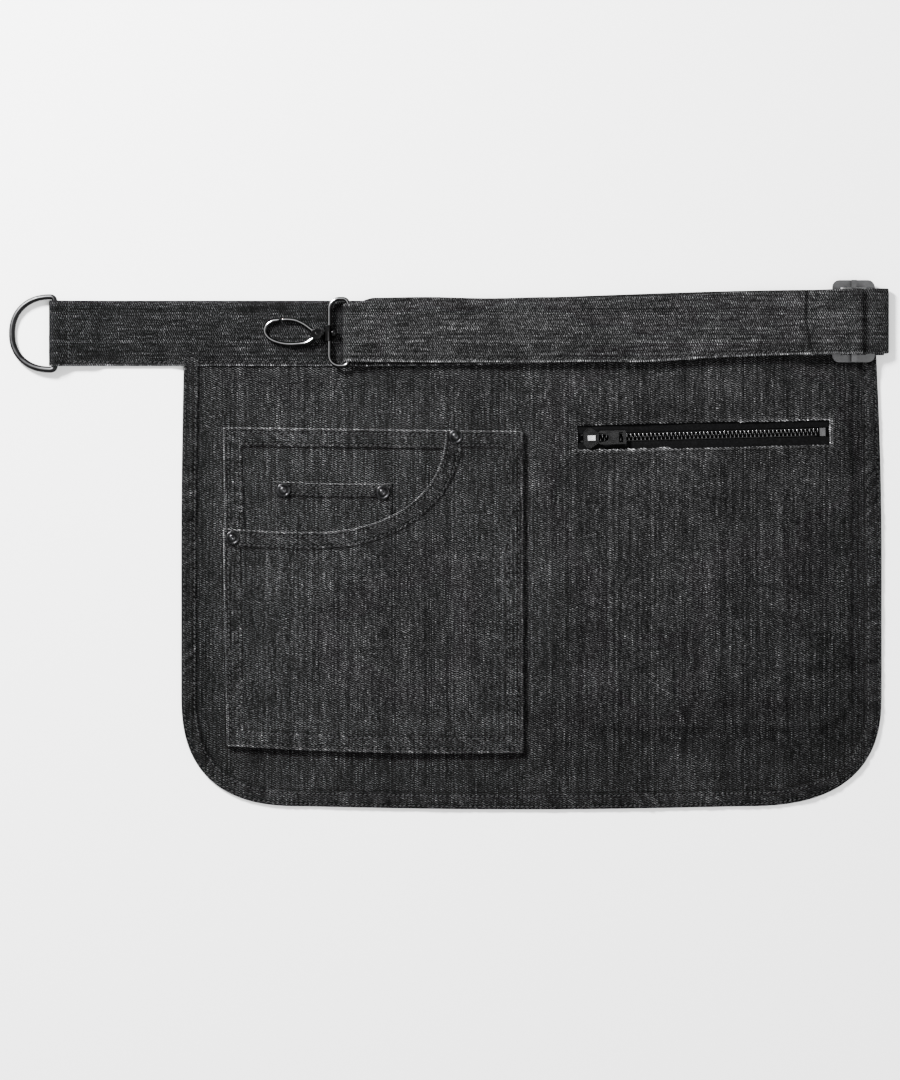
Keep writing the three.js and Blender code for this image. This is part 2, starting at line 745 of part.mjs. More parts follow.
function pocketFront() {
  const coin = {
    left: COIN_X - GAP,
    right: coinRight + GAP,
    low: -COIN_LOW - COIN_HEIGHT - COIN_FALL,
  };
  const [near, far] = [POCKET_BORDER + GAP, POCKET_WIDTH - POCKET_BORDER - GAP];
  const bottom = -POCKET_HEIGHT + POCKET_BORDER + GAP;
  const top = -POCKET_TOP_HEM - POCKET_TOP_FALL - GAP;
  const inside = TONGUE_Z + PLY + GAP;
  const floorAt = (x, y) => {
    const border = Math.max(
      ramp(-x, -near - POCKET_TUCK - POCKET_STEP, POCKET_STEP),
      ramp(x, far - POCKET_STEP, POCKET_STEP),
      ramp(-y, -bottom - POCKET_STEP, POCKET_STEP),
      ramp(y, top - POCKET_STEP, POCKET_STEP),
    );
    const beside = zone(x, coin.left, coin.right, POCKET_STEP);
    const lifted = (PLY + GAP) * beside * ramp(y, coin.low - POCKET_STEP, POCKET_STEP);
    return inside + Math.max(border * PLY, lifted);
  };
  const columns = ruled(
    [
      -PLY,
      near + POCKET_TUCK,
      near + POCKET_TUCK + POCKET_STEP,
      coin.left - POCKET_STEP,
      coin.left,
      coin.right,
      coin.right + POCKET_STEP,
      far - POCKET_STEP,
      far,
      POCKET_WIDTH + PLY,
    ],
    POCKET_STRIDE,
  );
  const rows = ruled(
    [
      -POCKET_HEIGHT - POCKET_BOTTOM_FALL - POCKET_SAG - PLY,
      bottom,
      bottom + POCKET_STEP,
      coin.low - POCKET_STEP,
      coin.low,
      top - POCKET_STEP,
      top,
      PLY,
    ],
    PANEL_STRIDE,
  );
  const cloth = ply(columns, rows, floorAt, (x, y) => at(x, y));
  const around = pocketOutline().slice(1);
  const scoop = scoopLine();
  scoop[scoop.length - 1].y = -POCKET_TOP_FALL * (scoopEnd / POCKET_WIDTH);
  const outline = plate([...scoop.reverse(), ...around], 0, borderTop + PLY);
  return cut(toPocket(common(cloth, outline)), ...rivetHoles());
}

function coinPocket() {
  const low = TONGUE_Z + PLY + GAP;
  const corners = (height) => [
    at(COIN_X, -COIN_LOW),
    at(COIN_X, -COIN_LOW - height),
    at(coinRight, -COIN_LOW - height - COIN_FALL),
    at(coinRight, -COIN_LOW - COIN_FALL),
  ];
  const cloth = plate(corners(COIN_HEIGHT), low, low + PLY);
  const hem = plate(corners(COIN_HEM), low + PLY - JOIN, low + PLY + COIN_HEM_THICKNESS);
  return cut(toPocket(join(cloth, hem)), ...rivetHoles());
}

// WAISTBAND AND STRAP

const D_BAR_Z = STRAP_THICKNESS + GAP + D_RING_WIRE / 2;
const D_LOOP = D_RING_WIRE / 2 + GAP + STRAP_THICKNESS / 2;

// Two walls round the panel's seam allowance, and a tab that turns round the D ring's bar.
function waistband() {
  const half = STRAP_THICKNESS / 2;
  const beltHalf = () => BELT_WIDTH / 2;
  const middle = (row) => beltHalf() + waistRise(row.x);
  const seam = D_BAR_X + TAB_TAIL;
  const open = LEFT_EDGE - GAP - PLY;
  const band = strip(
    [
      { x: seam + TAB_STEP / 2, low: 0, high: STRAP_THICKNESS },
      { x: open - TAB_STEP, low: 0, high: STRAP_THICKNESS },
      ...ruled([open, WAIST_END], STRIDE).map((x) => ({ x, low: 0, high: WAIST_TOP })),
    ].map(({ x, low, high }) => ({ x, z: (low + high) / 2, half: (high - low) / 2 })),
    middle,
    beltHalf,
  );
  const over = STRAP_THICKNESS + half - 2 * JOIN;
  const tab = strip(
    [
      { x: seam, z: half, half },
      ...bend(D_BAR_X, D_BAR_Z, D_LOOP, -90, -270, half, 2 * ARC_STEPS),
      { x: D_BAR_X + TAB_TURN, z: over, half },
      { x: seam, z: over, half },
      { x: seam + TAB_STEP, z: half, half },
      { x: seam + 2 * TAB_STEP, z: half, half: half - JOIN },
    ],
    beltHalf,
    beltHalf,
  );
  const slotStart = LEFT_EDGE - GAP;
  const fork = strip(
    ruled([slotStart, WAIST_END + PLY], STRIDE).map((x) => ({
      x,
      z: (PLY + WAIST_FRONT_Z) / 2,
      half: (WAIST_FRONT_Z - PLY) / 2,
    })),
    (row) => PANEL_TONGUE / 2 + waistRise(row.x) - GAP,
    () => PANEL_TONGUE / 2 + 2 * GAP,
  );
  const tuck = block(
    WAIST_END - STRAP_TUCK - GAP,
    WAIST_END + PLY,
    -BELT_WIDTH,
    2 * BELT_WIDTH,
    PLY,
    WAIST_FRONT_Z,
  );
  return cut(join(band, tab), fork, tuck);
}

const RING_BAR_Z = STRAP_LOWER_Z + STRAP_THICKNESS / 2 + GAP + RING_WIRE / 2;
const MIDDLE_BAR_LOW = STRAP_UPPER_Z + STRAP_THICKNESS / 2 + GAP;
const MIDDLE_BAR_TOP = MIDDLE_BAR_LOW + GLIDE_THICKNESS;

// The strap: out of the waistband's end, back through the tri-glide, round the ring, forward again
// as the front layer and round the tri-glide's middle bar, where its end is sewn down.
function strap() {
  const half = STRAP_THICKNESS / 2;
  const tuckZ = TONGUE_Z + PLY / 2;
  const turnZ = (tuckZ + STRAP_LOWER_Z) / 2;
  const turnX = WAIST_END + PLY;
  const glideLeft = GLIDE_X - GLIDE_LENGTH / 2;
  const glideRight = GLIDE_X + GLIDE_LENGTH / 2;
  const barLeft = GLIDE_X - GLIDE_MIDDLE_BAR / 2;
  const barRight = GLIDE_X + GLIDE_MIDDLE_BAR / 2;
  const tailTop = STRAP_UPPER_Z + LAYER;
  const frontTop = OVER_BAR_Z + 2 * LAYER;
  const foldX = barRight + GLIDE_TURN;
  const foldZ = (frontTop + STRAP_UPPER_Z) / 2;
  const ringTurn = RING_BAR_Z - STRAP_LOWER_Z;
  const pinchEnd = RING_BAR_X + STRAP_PINCH_RUN;
  const pinchZ = mix(RING_BAR_Z + ringTurn, STRAP_UPPER_Z, STRAP_PINCH_RUN / RING_FOLD_RUN);
  const tailEnd = glideLeft - RAMP_RUN - STRAP_TAIL;
  const level = (from, to, z) => {
    const row = ruled(ordered(from, to), STRIDE).map((x) => ({ x, z, half }));
    return from < to ? row : row.reverse();
  };
  const path = [
    { x: WAIST_END - STRAP_TUCK, z: tuckZ, half: PLY / 2 },
    { x: WAIST_END, z: tuckZ, half: PLY / 2 },
    ...bend(turnX, turnZ, turnZ - tuckZ, -90, 90, half),
    ...level(glideRight + GAP, glideRight - GLIDE_END_BAR, OVER_BAR_Z),
    ...level(barRight + GLIDE_DIVE, barLeft, STRAP_LOWER_Z),
    ...level(glideLeft + GLIDE_END_BAR + GAP, glideLeft, OVER_BAR_Z),
    ...level(glideLeft - RAMP_RUN, pinchEnd, STRAP_LOWER_Z),
    ...bend(RING_BAR_X, RING_BAR_Z, ringTurn, -90, -270, half, 2 * ARC_STEPS),
    { x: pinchEnd, z: pinchZ, half },
    ...level(RING_BAR_X + RING_FOLD_RUN, tailEnd - FRONT_RAMP_RUN - PLY, STRAP_UPPER_Z),
    ...level(tailEnd - PLY, glideLeft - RAMP_RUN, tailTop),
    ...level(glideLeft, foldX, frontTop),
    ...bend(foldX, foldZ, frontTop - foldZ, 90, -90, half).slice(1),
    { x: barLeft, z: STRAP_UPPER_Z, half },
    { x: glideLeft + GLIDE_END_BAR + GAP, z: OVER_BAR_Z + LAYER, half },
    { x: glideLeft, z: OVER_BAR_Z + LAYER, half },
    { x: glideLeft - RAMP_RUN, z: STRAP_UPPER_Z, half },
    { x: tailEnd, z: STRAP_UPPER_Z, half },
  ];
  const near = (row) => 1 - clamp((row.x - RING_BAR_X) / STRAP_PINCH_RUN, 0, 1);
  const middleLine = (row) => strapMiddle(row.x) - STRAP_DIP * near(row);
  return strip(path, middleLine, (row) => BELT_WIDTH / 2 - STRAP_PINCH * near(row));
}

// METAL OF THE BELT

// A rectangle with its corners cut to arcs, anticlockwise. Radii from the lower left corner on.
function roundedRectangle(left, right, low, high, radii) {
  const corners = [
    { x: left + radii[0], y: low + radii[0], from: 180 },
    { x: right - radii[1], y: low + radii[1], from: 270 },
    { x: right - radii[2], y: high - radii[2], from: 0 },
    { x: left + radii[3], y: high - radii[3], from: 90 },
  ];
  return corners.flatMap(({ x, y, from }, i) =>
    shares(SMALL_STEPS).map((share) => {
      const turn = radians(from + 90 * share);
      return at(x + radii[i] * Math.cos(turn), y + radii[i] * Math.sin(turn));
    }),
  );
}

function triGlide() {
  const [long, tall, bar] = [GLIDE_LENGTH / 2, GLIDE_HEIGHT / 2, GLIDE_MIDDLE_BAR / 2];
  const low = WAIST_TOP + GAP;
  const slot = BELT_WIDTH / 2 + GLIDE_CLEARANCE;
  const inner = long - GLIDE_END_BAR;
  const outline = roundedRectangle(-long, long, -tall, tall, Array(4).fill(GLIDE_CORNER));
  const opening = block(-inner, inner, -slot, slot, low - PLY, GLIDE_TOP + PLY);
  const middleBar = block(-bar, bar, -tall, tall, MIDDLE_BAR_LOW, MIDDLE_BAR_TOP);
  const riser = (near, far) => block(-bar, bar, near, far, low + JOIN, MIDDLE_BAR_LOW + JOIN);
  const frame = cut(plate(outline, low, GLIDE_TOP), opening);
  return join(frame, middleBar, riser(-tall, -slot), riser(slot, tall));
}

// The D ring about its bar, which lies along Y, with its bow towards -X.
function dRing() {
  const bow = quarter(D_RING_RUN - D_RING_CORNER, D_RING_HALF, D_RING_POWER, BOW_STEPS);
  const corner = quarter(D_RING_CORNER, D_RING_CORNER, 2, SMALL_STEPS);
  const turn = corner.map((p) => at(p.x - D_RING_CORNER, D_RING_HALF - D_RING_CORNER + p.y));
  const rise = bow.slice(0, -1).map((p) => at(-D_RING_CORNER - p.x, p.y));
  const upper = [...turn, ...rise.reverse()];
  const lower = upper.slice(0, -1).map((p) => at(p.x, -p.y)).reverse();
  const path = [...upper, ...lower];
  const wide = (share) => mix(D_RING_WIRE, D_RING_BOW_WIDTH, Math.sin(Math.PI * share)) / 2;
  return rod(path, (share) => ({ half: wide(share), thick: D_RING_WIRE / 2 }), true);
}

// The ring about its strap bar, with the collar that carries the hook's stud.
function strapRing() {
  const tall = RING_HEIGHT / 2;
  const radii = [RING_HOOK_CORNER, RING_STRAP_CORNER, RING_STRAP_CORNER, RING_HOOK_CORNER];
  const path = roundedRectangle(-RING_LENGTH, 0, -tall, tall, radii);
  const wire = rod(path, () => ({ half: RING_WIRE / 2, thick: RING_WIRE / 2 }), true);
  const [radius, length] = [COLLAR_RADIUS, 2 * COLLAR_HALF];
  const axis = -RING_LENGTH - COLLAR_OFFSET;
  const collar = new THREE.CylinderGeometry(radius, radius, length, ROUND_SIDES);
  collar.translate(axis, HOOK_SHIFT, 0);
  const bore = shaft(STUD_RADIUS + GAP, axis - 2 * radius, axis + 2 * radius, HOOK_SHIFT, 0);
  return cut(join(wire, collar), bore);
}

const hookPoint = ({ along, up }) => at(-HOOK_REACH * along, HOOK_HALF * up);
const EYE_HALF = EYE_THICKNESS / 2;
const CHEEK_TOP = EYE_HALF + GAP + CHEEK;

// The hook's body about the ring's hook bar: stud, boss with two cheeks, pin, arm and bow.
function snapHook() {
  const nose = HOOK_LINE.map(hookPoint);
  const wire = HOOK_WIRE / 2;
  const arm = rod([at(PIVOT_X, PIVOT_Y - EYE_RADIUS), ...nose], (share) => {
    const size = share < HOOK_SHOULDER_SHARE ? HOOK_SHOULDER / 2 : wire;
    return { half: size, thick: size };
  });
  const boss = drum(BOSS_RADIUS, PIVOT_X, PIVOT_Y, -CHEEK_TOP, CHEEK_TOP);
  const neck = -COLLAR_OFFSET - COLLAR_RADIUS - GAP;
  const shank = shaft(CHEEK_TOP, PIVOT_X + PIN_RADIUS, neck, 0, 0, HOLE_SIDES);
  const headStart = COLLAR_RADIUS - COLLAR_OFFSET + GAP;
  const stud = shaft(STUD_RADIUS, neck - PLY, headStart + PLY, 0, 0, HOLE_SIDES);
  const head = shaft(STUD_HEAD_RADIUS, headStart, headStart + STUD_HEAD_LENGTH, 0, 0);
  const room = EYE_HALF + GAP;
  const hollow = drum(EYE_RADIUS + GAP, PIVOT_X, PIVOT_Y, -room, room);
  const leave = hookPoint(GATE_LINE[1]).sub(at(PIVOT_X, PIVOT_Y));
  const shut = Math.atan2(leave.y, leave.x);
  const swing = shares(SMALL_STEPS).map((share) => {
    const side = GATE_WIDTH / 2 + GAP;
    const channel = block(0, 2 * BOSS_RADIUS, -side, side, -room, room);
    return channel.rotateZ(shut + radians(GATE_OPENING * share)).translate(PIVOT_X, PIVOT_Y, 0);
  });
  const pin = drum(PIN_RADIUS, PIVOT_X, PIVOT_Y, -room - JOIN, room + JOIN, HOLE_SIDES);
  return join(cut(join(boss, shank, arm), hollow, ...swing), pin, stud, head);
}

// The gate about its pivot.
function hookGate() {
  const tip = hookPoint(HOOK_LINE[HOOK_LINE.length - 1]).add(at(GATE_TIP_GAP, 0));
  const half = GATE_WIDTH / 2;
  const arm = rod([...GATE_LINE.map(hookPoint), tip], (share) => ({
    half,
    thick: mix(EYE_HALF, half, Math.min(2 * share, 1)),
  }));
  const eye = drum(EYE_RADIUS, PIVOT_X, PIVOT_Y, -EYE_HALF, EYE_HALF);
  const hole = drum(PIN_RADIUS + GAP, PIVOT_X, PIVOT_Y, -CHEEK_TOP, CHEEK_TOP, HOLE_SIDES);
  return cut(join(eye, arm), hole).translate(-PIVOT_X, -PIVOT_Y, 0);
}

// ZIP

const TAPE_LOW = ZIP_MIDDLE_Z - PLY / 2;
const SLIDER_X = -ZIP_OPENING_LENGTH / 2 + SLIDER_FROM_END;
const SLIDER_TOP = ZIP_MIDDLE_Z + TOOTH_HALF + 2 * GAP + SLIDER_PLATE;
const STOP_X = ZIP_OPENING_LENGTH / 2 - STOP_FROM_END - STOP_LENGTH / 2;

// One half of the tape, above (1) or below (-1) the chain.
function zipTape(side) {
  const long = ZIP_OPENING_LENGTH / 2 + TAPE_OVERRUN;
  const near = CHAIN_HALF + GAP;
  const span = ordered(side * near, side * (near + TAPE_WIDTH));
  return block(-long, long, ...span, TAPE_LOW, TAPE_LOW + PLY);
}

// One half of the chain: a spine with its teeth, which pass the middle and mesh with the others.
function zipTeeth(side) {
  const first = SLIDER_X - CHAIN_START + (side > 0 ? 0 : TOOTH_PITCH / 2);
  const end = STOP_X - STOP_LENGTH / 2 - GAP;
  const count = Math.floor((end - first - TOOTH_WIDTH) / TOOTH_PITCH) + 1;
  const levels = [ZIP_MIDDLE_Z - TOOTH_HALF, ZIP_MIDDLE_Z + TOOTH_HALF];
  const root = CHAIN_HALF - TOOTH_SPINE;
  const length = (count - 1) * TOOTH_PITCH + TOOTH_WIDTH;
  const back = ordered(side * root, side * CHAIN_HALF);
  const spine = block(first, first + length, ...back, ...levels);
  const tooth = ordered(side * (root + JOIN), -side * TOOTH_REACH);
  const teeth = Array.from({ length: count }, (_, i) => {
    const left = first + i * TOOTH_PITCH;
    return block(left, left + TOOTH_WIDTH, ...tooth, ...levels);
  });
  return join(spine, ...teeth);
}

// The slider about its own middle: two plates on a post, and a bridge that holds the pull.
function zipSlider() {
  const [long, wide] = [SLIDER_LENGTH / 2, SLIDER_WIDTH / 2];
  const flank = (width) => SLIDER_SIDE.map(({ along, out }) => at(long * along, width * out));
  const outline = (width) => [...flank(-width), ...flank(width).reverse()];
  const backLow = PLY + GAP;
  const front = plate(outline(wide), SLIDER_TOP - SLIDER_PLATE, SLIDER_TOP);
  const back = plate(outline(SLIDER_BACK_WIDTH / 2), backLow, backLow + SLIDER_BACK_PLATE);
  const post = drum(POST_RADIUS, -long / 2, 0, backLow + JOIN, SLIDER_TOP - JOIN, HOLE_SIDES);
  const roof = SLIDER_TOP + GAP + PULL_THICKNESS + BRIDGE_ROOM;
  const side = BRIDGE_WIDTH / 2;
  const feet = [PULL_HINGE - BRIDGE_INNER - BRIDGE_FOOT, PULL_HINGE + BRIDGE_INNER].map((from) =>
    block(from, from + BRIDGE_FOOT, -side, side, SLIDER_TOP - JOIN, roof + JOIN),
  );
  const span = BRIDGE_INNER + BRIDGE_FOOT;
  const arch = block(PULL_HINGE - span, PULL_HINGE + span, -side, side, roof, roof + BRIDGE_ROOF);
  return join(front, back, post, ...feet, arch);
}

// The pull about its hinge, with an eye for the bridge, a D window and a slot.
function zipPull() {
  const bar = PULL_THICKNESS / 2;
  const [neck, wide] = [PULL_NECK / 2, PULL_WIDTH / 2];
  const side = (sign) => [
    at(-bar, sign * neck),
    at(PULL_NECK_END, sign * neck),
    at(PULL_SHOULDER, sign * wide),
    at(PULL_LENGTH - bar, sign * wide),
    at(PULL_LENGTH, sign * (wide - bar)),
  ];
  const body = plate([...side(-1), ...side(1).reverse()], -bar, bar);
  const through = [-bar - PLY, bar + PLY];
  const eyeSide = BRIDGE_WIDTH / 2 + GAP;
  const eyeEnd = BRIDGE_INNER + BRIDGE_FOOT + 3 * GAP;
  const eye = block(bar, eyeEnd, -eyeSide, eyeSide, ...through);
  const windowStart = eyeEnd + PULL_THICKNESS;
  const bow = quarter(PULL_WINDOW, wide - PULL_RIM, PULL_WINDOW_POWER, ARC_STEPS);
  const upper = bow.map((p) => at(windowStart + p.x, p.y));
  const lower = bow.slice(1).map((p) => at(windowStart + p.x, -p.y)).reverse();
  const window = plate([...lower, ...upper], ...through);
  const slotSide = wide - PULL_THICKNESS;
  const slot = block(PULL_SLOT_START, PULL_SLOT_END, -slotSide, slotSide, ...through);
  return cut(body, eye, window, slot);
}

function zipStop() {
  const levels = [ZIP_MIDDLE_Z - TOOTH_HALF, ZIP_MIDDLE_Z + TOOTH_HALF];
  const [left, right] = [STOP_X - STOP_LENGTH / 2, STOP_X + STOP_LENGTH / 2];
  return block(left, right, -CHAIN_HALF, CHAIN_HALF, ...levels);
}

// The stop of one half of the chain at its open end, above (1) or below (-1) its middle.
function topStop(side) {
  const left = SLIDER_X - SLIDER_LENGTH / 2 - TOP_STOP_LENGTH - GAP;
  const span = ordered(side * CHAIN_HALF, side * (CHAIN_HALF - TOP_STOP_WIDTH));
  const levels = [ZIP_MIDDLE_Z - TOOTH_HALF, ZIP_MIDDLE_Z + TOOTH_HALF];
  return block(left, left + TOP_STOP_LENGTH, ...span, ...levels);
}

// A rivet: a cap with a rim, a groove and a domed middle, on a shank through the cloth.
function rivet(seat) {
  const cap = seat + GAP;
  const profile = [
    { radius: 0, z: 0 },
    { radius: RIVET_SHANK, z: 0 },
    { radius: RIVET_SHANK, z: cap },
    { radius: RIVET_RADIUS - RIVET_EDGE / 2, z: cap },
    { radius: RIVET_RADIUS, z: cap + RIVET_EDGE },
    ...RIVET_CAP.map(({ out, up }) => ({ radius: RIVET_RADIUS * out, z: cap + RIVET_HEIGHT * up })),
    { radius: 0, z: cap + RIVET_HEIGHT },
  ];
  const points = profile.map((row) => new THREE.Vector2(row.radius, row.z));
  return new THREE.LatheGeometry(points, ROUND_SIDES).rotateX(Math.PI / 2);
}

// ASSEMBLY

const finish = (color, roughness, metalness) =>
  new THREE.MeshStandardMaterial({ color, roughness, metalness });
const DENIM = () => finish(0x2b2c2e, 0.9, 0);
const LINING = () => finish(0x1f2022, 0.9, 0);
const TAPE = () => finish(0x141416, 0.85, 0);
const GUNMETAL = () => finish(0x3a3b3d, 0.35, 1);
const SATIN = () => finish(0x55575a, 0.45, 1);
const ZIP_METAL = () => finish(0x4a4c4f, 0.3, 1);

function piece(name, geometry, material) {
  const mesh = new THREE.Mesh(geometry, material);
  mesh.name = name;
  return mesh;
}

const apron = new THREE.Group();
apron.add(
  piece("apron_body", apronBody(), DENIM()),
  piece("zip_pocket_bag", zipBag(), LINING()),
  piece("pocket_back", pocketBack(), DENIM()),
  piece("pocket_front", pocketFront(), DENIM()),
  piece("coin_pocket", coinPocket(), DENIM()),
  piece("waistband", waistband(), DENIM()),
  piece("strap", strap(), DENIM()),
);

RIVETS.forEach(({ name, x, y, seat }) => {
  const mesh = piece(name, rivet(seat), GUNMETAL());
  mesh.position.set(POCKET_X + x, y - POCKET_LOW, 0);
  apron.add(mesh);
});

const zip = new THREE.Group();
zip.position.set(ZIP_X, -ZIP_LOW, 0);
zip.rotation.z = radians(ZIP_TILT);
const slider = piece("zip_slider", zipSlider(), ZIP_METAL());
slider.position.x = SLIDER_X;
const pull = piece("zip_pull", zipPull(), ZIP_METAL());
pull.position.set(SLIDER_X + PULL_HINGE, 0, SLIDER_TOP + GAP + PULL_THICKNESS / 2);
zip.add(
  piece("zip_tape_upper", zipTape(1), TAPE()),
  piece("zip_tape_lower", zipTape(-1), TAPE()),
  piece("zip_teeth_upper", zipTeeth(1), ZIP_METAL()),
  piece("zip_teeth_lower", zipTeeth(-1), ZIP_METAL()),
  piece("zip_bottom_stop", zipStop(), ZIP_METAL()),
  piece("zip_top_stop_upper", topStop(1), ZIP_METAL()),
  piece("zip_top_stop_lower", topStop(-1), ZIP_METAL()),
  slider,
  pull,
);
apron.add(zip);

const glide = piece("tri_glide", triGlide(), SATIN());
glide.position.set(GLIDE_X, strapMiddle(GLIDE_X), 0);
apron.add(glide);

// The D ring leans down until its bow lies on the table.
const ringAtTab = piece("d_ring", dRing(), GUNMETAL());
ringAtTab.position.set(D_BAR_X, BELT_WIDTH / 2, D_BAR_Z);
ringAtTab.rotation.y = -Math.asin((D_BAR_Z - D_RING_WIRE / 2) / D_RING_RUN);
apron.add(ringAtTab);

// The strap's ring leans down until the hook's bow lies on the waistband.
const hookFall = RING_BAR_Z - HOOK_WIRE / 2 - WAIST_TOP - GAP;
const ringGroup = new THREE.Group();
ringGroup.position.set(RING_BAR_X, strapMiddle(RING_BAR_X) - STRAP_DIP, RING_BAR_Z);
ringGroup.rotation.y = -Math.asin(hookFall / (RING_LENGTH + HOOK_REACH));
const hook = new THREE.Group();
hook.position.set(-RING_LENGTH, HOOK_SHIFT, 0);
const gate = piece("hook_gate", hookGate(), GUNMETAL());
gate.position.set(PIVOT_X, PIVOT_Y, 0);
hook.add(piece("snap_hook", snapHook(), GUNMETAL()), gate);
ringGroup.add(piece("strap_ring", strapRing(), GUNMETAL()), hook);
apron.add(ringGroup);

const box = new THREE.Box3().setFromObject(apron, true);
const middle = box.getCenter(at(0, 0));
apron.position.set(-middle.x, -middle.y, -box.min.z);

export default apron;
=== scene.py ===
"""Looks of a washed denim waist apron that lies flat with its front up.

Sizes are millimetres about the panel's upper middle: x along the belt, y up the apron and z off the
table. to_frame() takes them to the row frame in metres.
"""

import logging
import math
from dataclasses import dataclass, field
from enum import Enum
from typing import Callable, Sequence

import bpy
import numpy as np
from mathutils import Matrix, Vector


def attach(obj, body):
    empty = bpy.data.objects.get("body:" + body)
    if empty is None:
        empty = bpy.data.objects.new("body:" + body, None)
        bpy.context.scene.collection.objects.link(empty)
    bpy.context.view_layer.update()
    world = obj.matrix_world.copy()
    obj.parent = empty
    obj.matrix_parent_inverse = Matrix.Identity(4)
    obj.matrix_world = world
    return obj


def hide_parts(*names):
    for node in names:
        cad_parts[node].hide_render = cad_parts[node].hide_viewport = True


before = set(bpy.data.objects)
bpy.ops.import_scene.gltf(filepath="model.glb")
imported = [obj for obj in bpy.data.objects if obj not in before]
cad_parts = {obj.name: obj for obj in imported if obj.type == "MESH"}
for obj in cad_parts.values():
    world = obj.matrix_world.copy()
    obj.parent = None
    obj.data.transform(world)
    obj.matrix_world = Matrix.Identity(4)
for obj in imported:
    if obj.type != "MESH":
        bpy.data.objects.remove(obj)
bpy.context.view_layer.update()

Array = np.ndarray
Floor = Callable[[Array, Array], Array]
Relief = Callable[[Array], Array]

LOG = logging.getLogger("apron")
MM = 0.001
SHARP = math.radians(28)  # turn from which an edge of a CAD node is broken
ORIGIN = np.array([52.71, 114.5, 0.0])  # the panel's upper middle in the row frame

PLY = 1.0  # one ply of denim
GAP = 0.3  # between plies that touch
PAINTED_HIGHLIGHT_SIDE = np.array([-0.3, 0.2, 0.93])  # the way that the wires' painted highlight line faces: up and towards the upper left, where the light comes from
PANEL_HALF = 224.4  # half the panel's width below its flare
RIGHT_EDGE = 220.8  # where the panel's right side meets the belt
WAIST_END = 225.7  # the waistband's right end
POCKET_CORNER = np.array([-197.6, -39.0])  # the patch pocket's upper left corner
TONGUE_Z = PLY + GAP  # the panel's underside inside the waistband
FACED_Z = 2 * TONGUE_Z  # underside of what lies on the pocket's facing
BELT_ROW = 2.6  # the belt's and the strap's stitches, from the edge
BAG_LEVEL = 2.7  # the panel's underside over the zip pocket's bag
BAG_BOX = (11.8, 205.0, -231.0, -26.0)  # the bag's left, right, low and high edges
BAG_CORNER = 25.0  # radius of the bag's lower corners


# Shapes worked out with numpy


def to_frame(points: Array) -> Array:
    """Points in millimetres about the panel's upper middle, as metres of the row frame."""
    return (points + ORIGIN) * MM


def smooth(value: Array, start: float, end: float) -> Array:
    """Smoothstep: 3t^2 - 2t^3 between two values.

    Args:
        value: where it is read.
        start: up to here it is 0.
        end: from here on it is 1.

    Returns:
        Shares from 0 to 1.
    """
    t = np.clip((np.asarray(value, float) - start) / (end - start), 0.0, 1.0)
    return t * t * (3.0 - 2.0 * t)


def hump(value: Array, middle: float, width: float) -> Array:
    """Gaussian bump.

    Args:
        value: where it is read.
        middle: where it is 1.
        width: how far from there it is 1/e.

    Returns:
        Shares from 0 to 1.
    """
    return np.exp(-(((value - middle) / width) ** 2))


def waves(points: Array, length: float, seed: int, count: int = 12) -> Array:
    """Gentle random relief: sine waves in random directions, added up to a spread of about 1.

    Args:
        points: (..., 2) places.
        length: usual length of a wave, in the points' unit.
        seed: picks the directions, phases and lengths, from 0.7 to 1.5 of the usual one.
        count: number of waves.

    Returns:
        One height for each place.
    """
    random = np.random.default_rng(seed)
    turn = random.uniform(0.0, 2.0 * np.pi, count)
    rate = 2.0 * np.pi / (length * random.uniform(0.7, 1.5, count))
    start = random.uniform(0.0, 2.0 * np.pi, count)
    across = points[..., 0, None] * np.cos(turn) + points[..., 1, None] * np.sin(turn)
    return np.sin(across * rate + start).sum(-1) * math.sqrt(2.0 / count)


def ripple(along: Array, length: float, seed: int) -> Array:
    """Random wave along a line: sines of unlike lengths, added up to a spread of about 1.

    Args:
        along: length along the line.
        length: usual length of a wave, before it is divided by 1.6.
        seed: picks the sines.

    Returns:
        One height for each place.
    """
    return waves(np.stack([along, np.zeros_like(along)], -1) * 1.6, length, seed, 16)


def travelled(path: Array) -> Array:
    """Length along a path at each of its points, from 0 at the first."""
    steps = np.linalg.norm(np.diff(path, axis=0), axis=1)
    return np.concatenate([[0.0], np.cumsum(steps)])


def resample(path: Array, count: int, start: float = 0.0, end: float | None = None) -> Array:
    """Points at even steps of length along a path.

    Args:
        path: (n, k) points.
        count: number of points wanted.
        start: length along the path of the first.
        end: length along the path of the last, which is the path's end unless given.

    Returns:
        (count, k) points.
    """
    at = travelled(path)
    wanted = np.linspace(start, at[-1] if end is None else end, count)
    return np.stack([np.interp(wanted, at, path[:, k]) for k in range(path.shape[1])], -1)


def rounded(path: Array, count: int, spread: float) -> Array:
    """A path with its corners eased: resampled evenly, then averaged with Gaussian weights.

    Args:
        path: (n, k) points.
        count: number of points wanted.
        spread: width of the Gaussian, in the path's unit.

    Returns:
        (count, k) points that keep the two ends.
    """
    fine = resample(path, count)
    at = travelled(fine)
    weight = np.exp(-(((at[:, None] - at[None, :]) / spread) ** 2))
    mixed = weight @ fine / weight.sum(1, keepdims=True)
    hold = np.minimum(smooth(at, 0.0, 2 * spread), smooth(-at, -at[-1], 2 * spread - at[-1]))
    return fine + (mixed - fine) * hold[:, None]


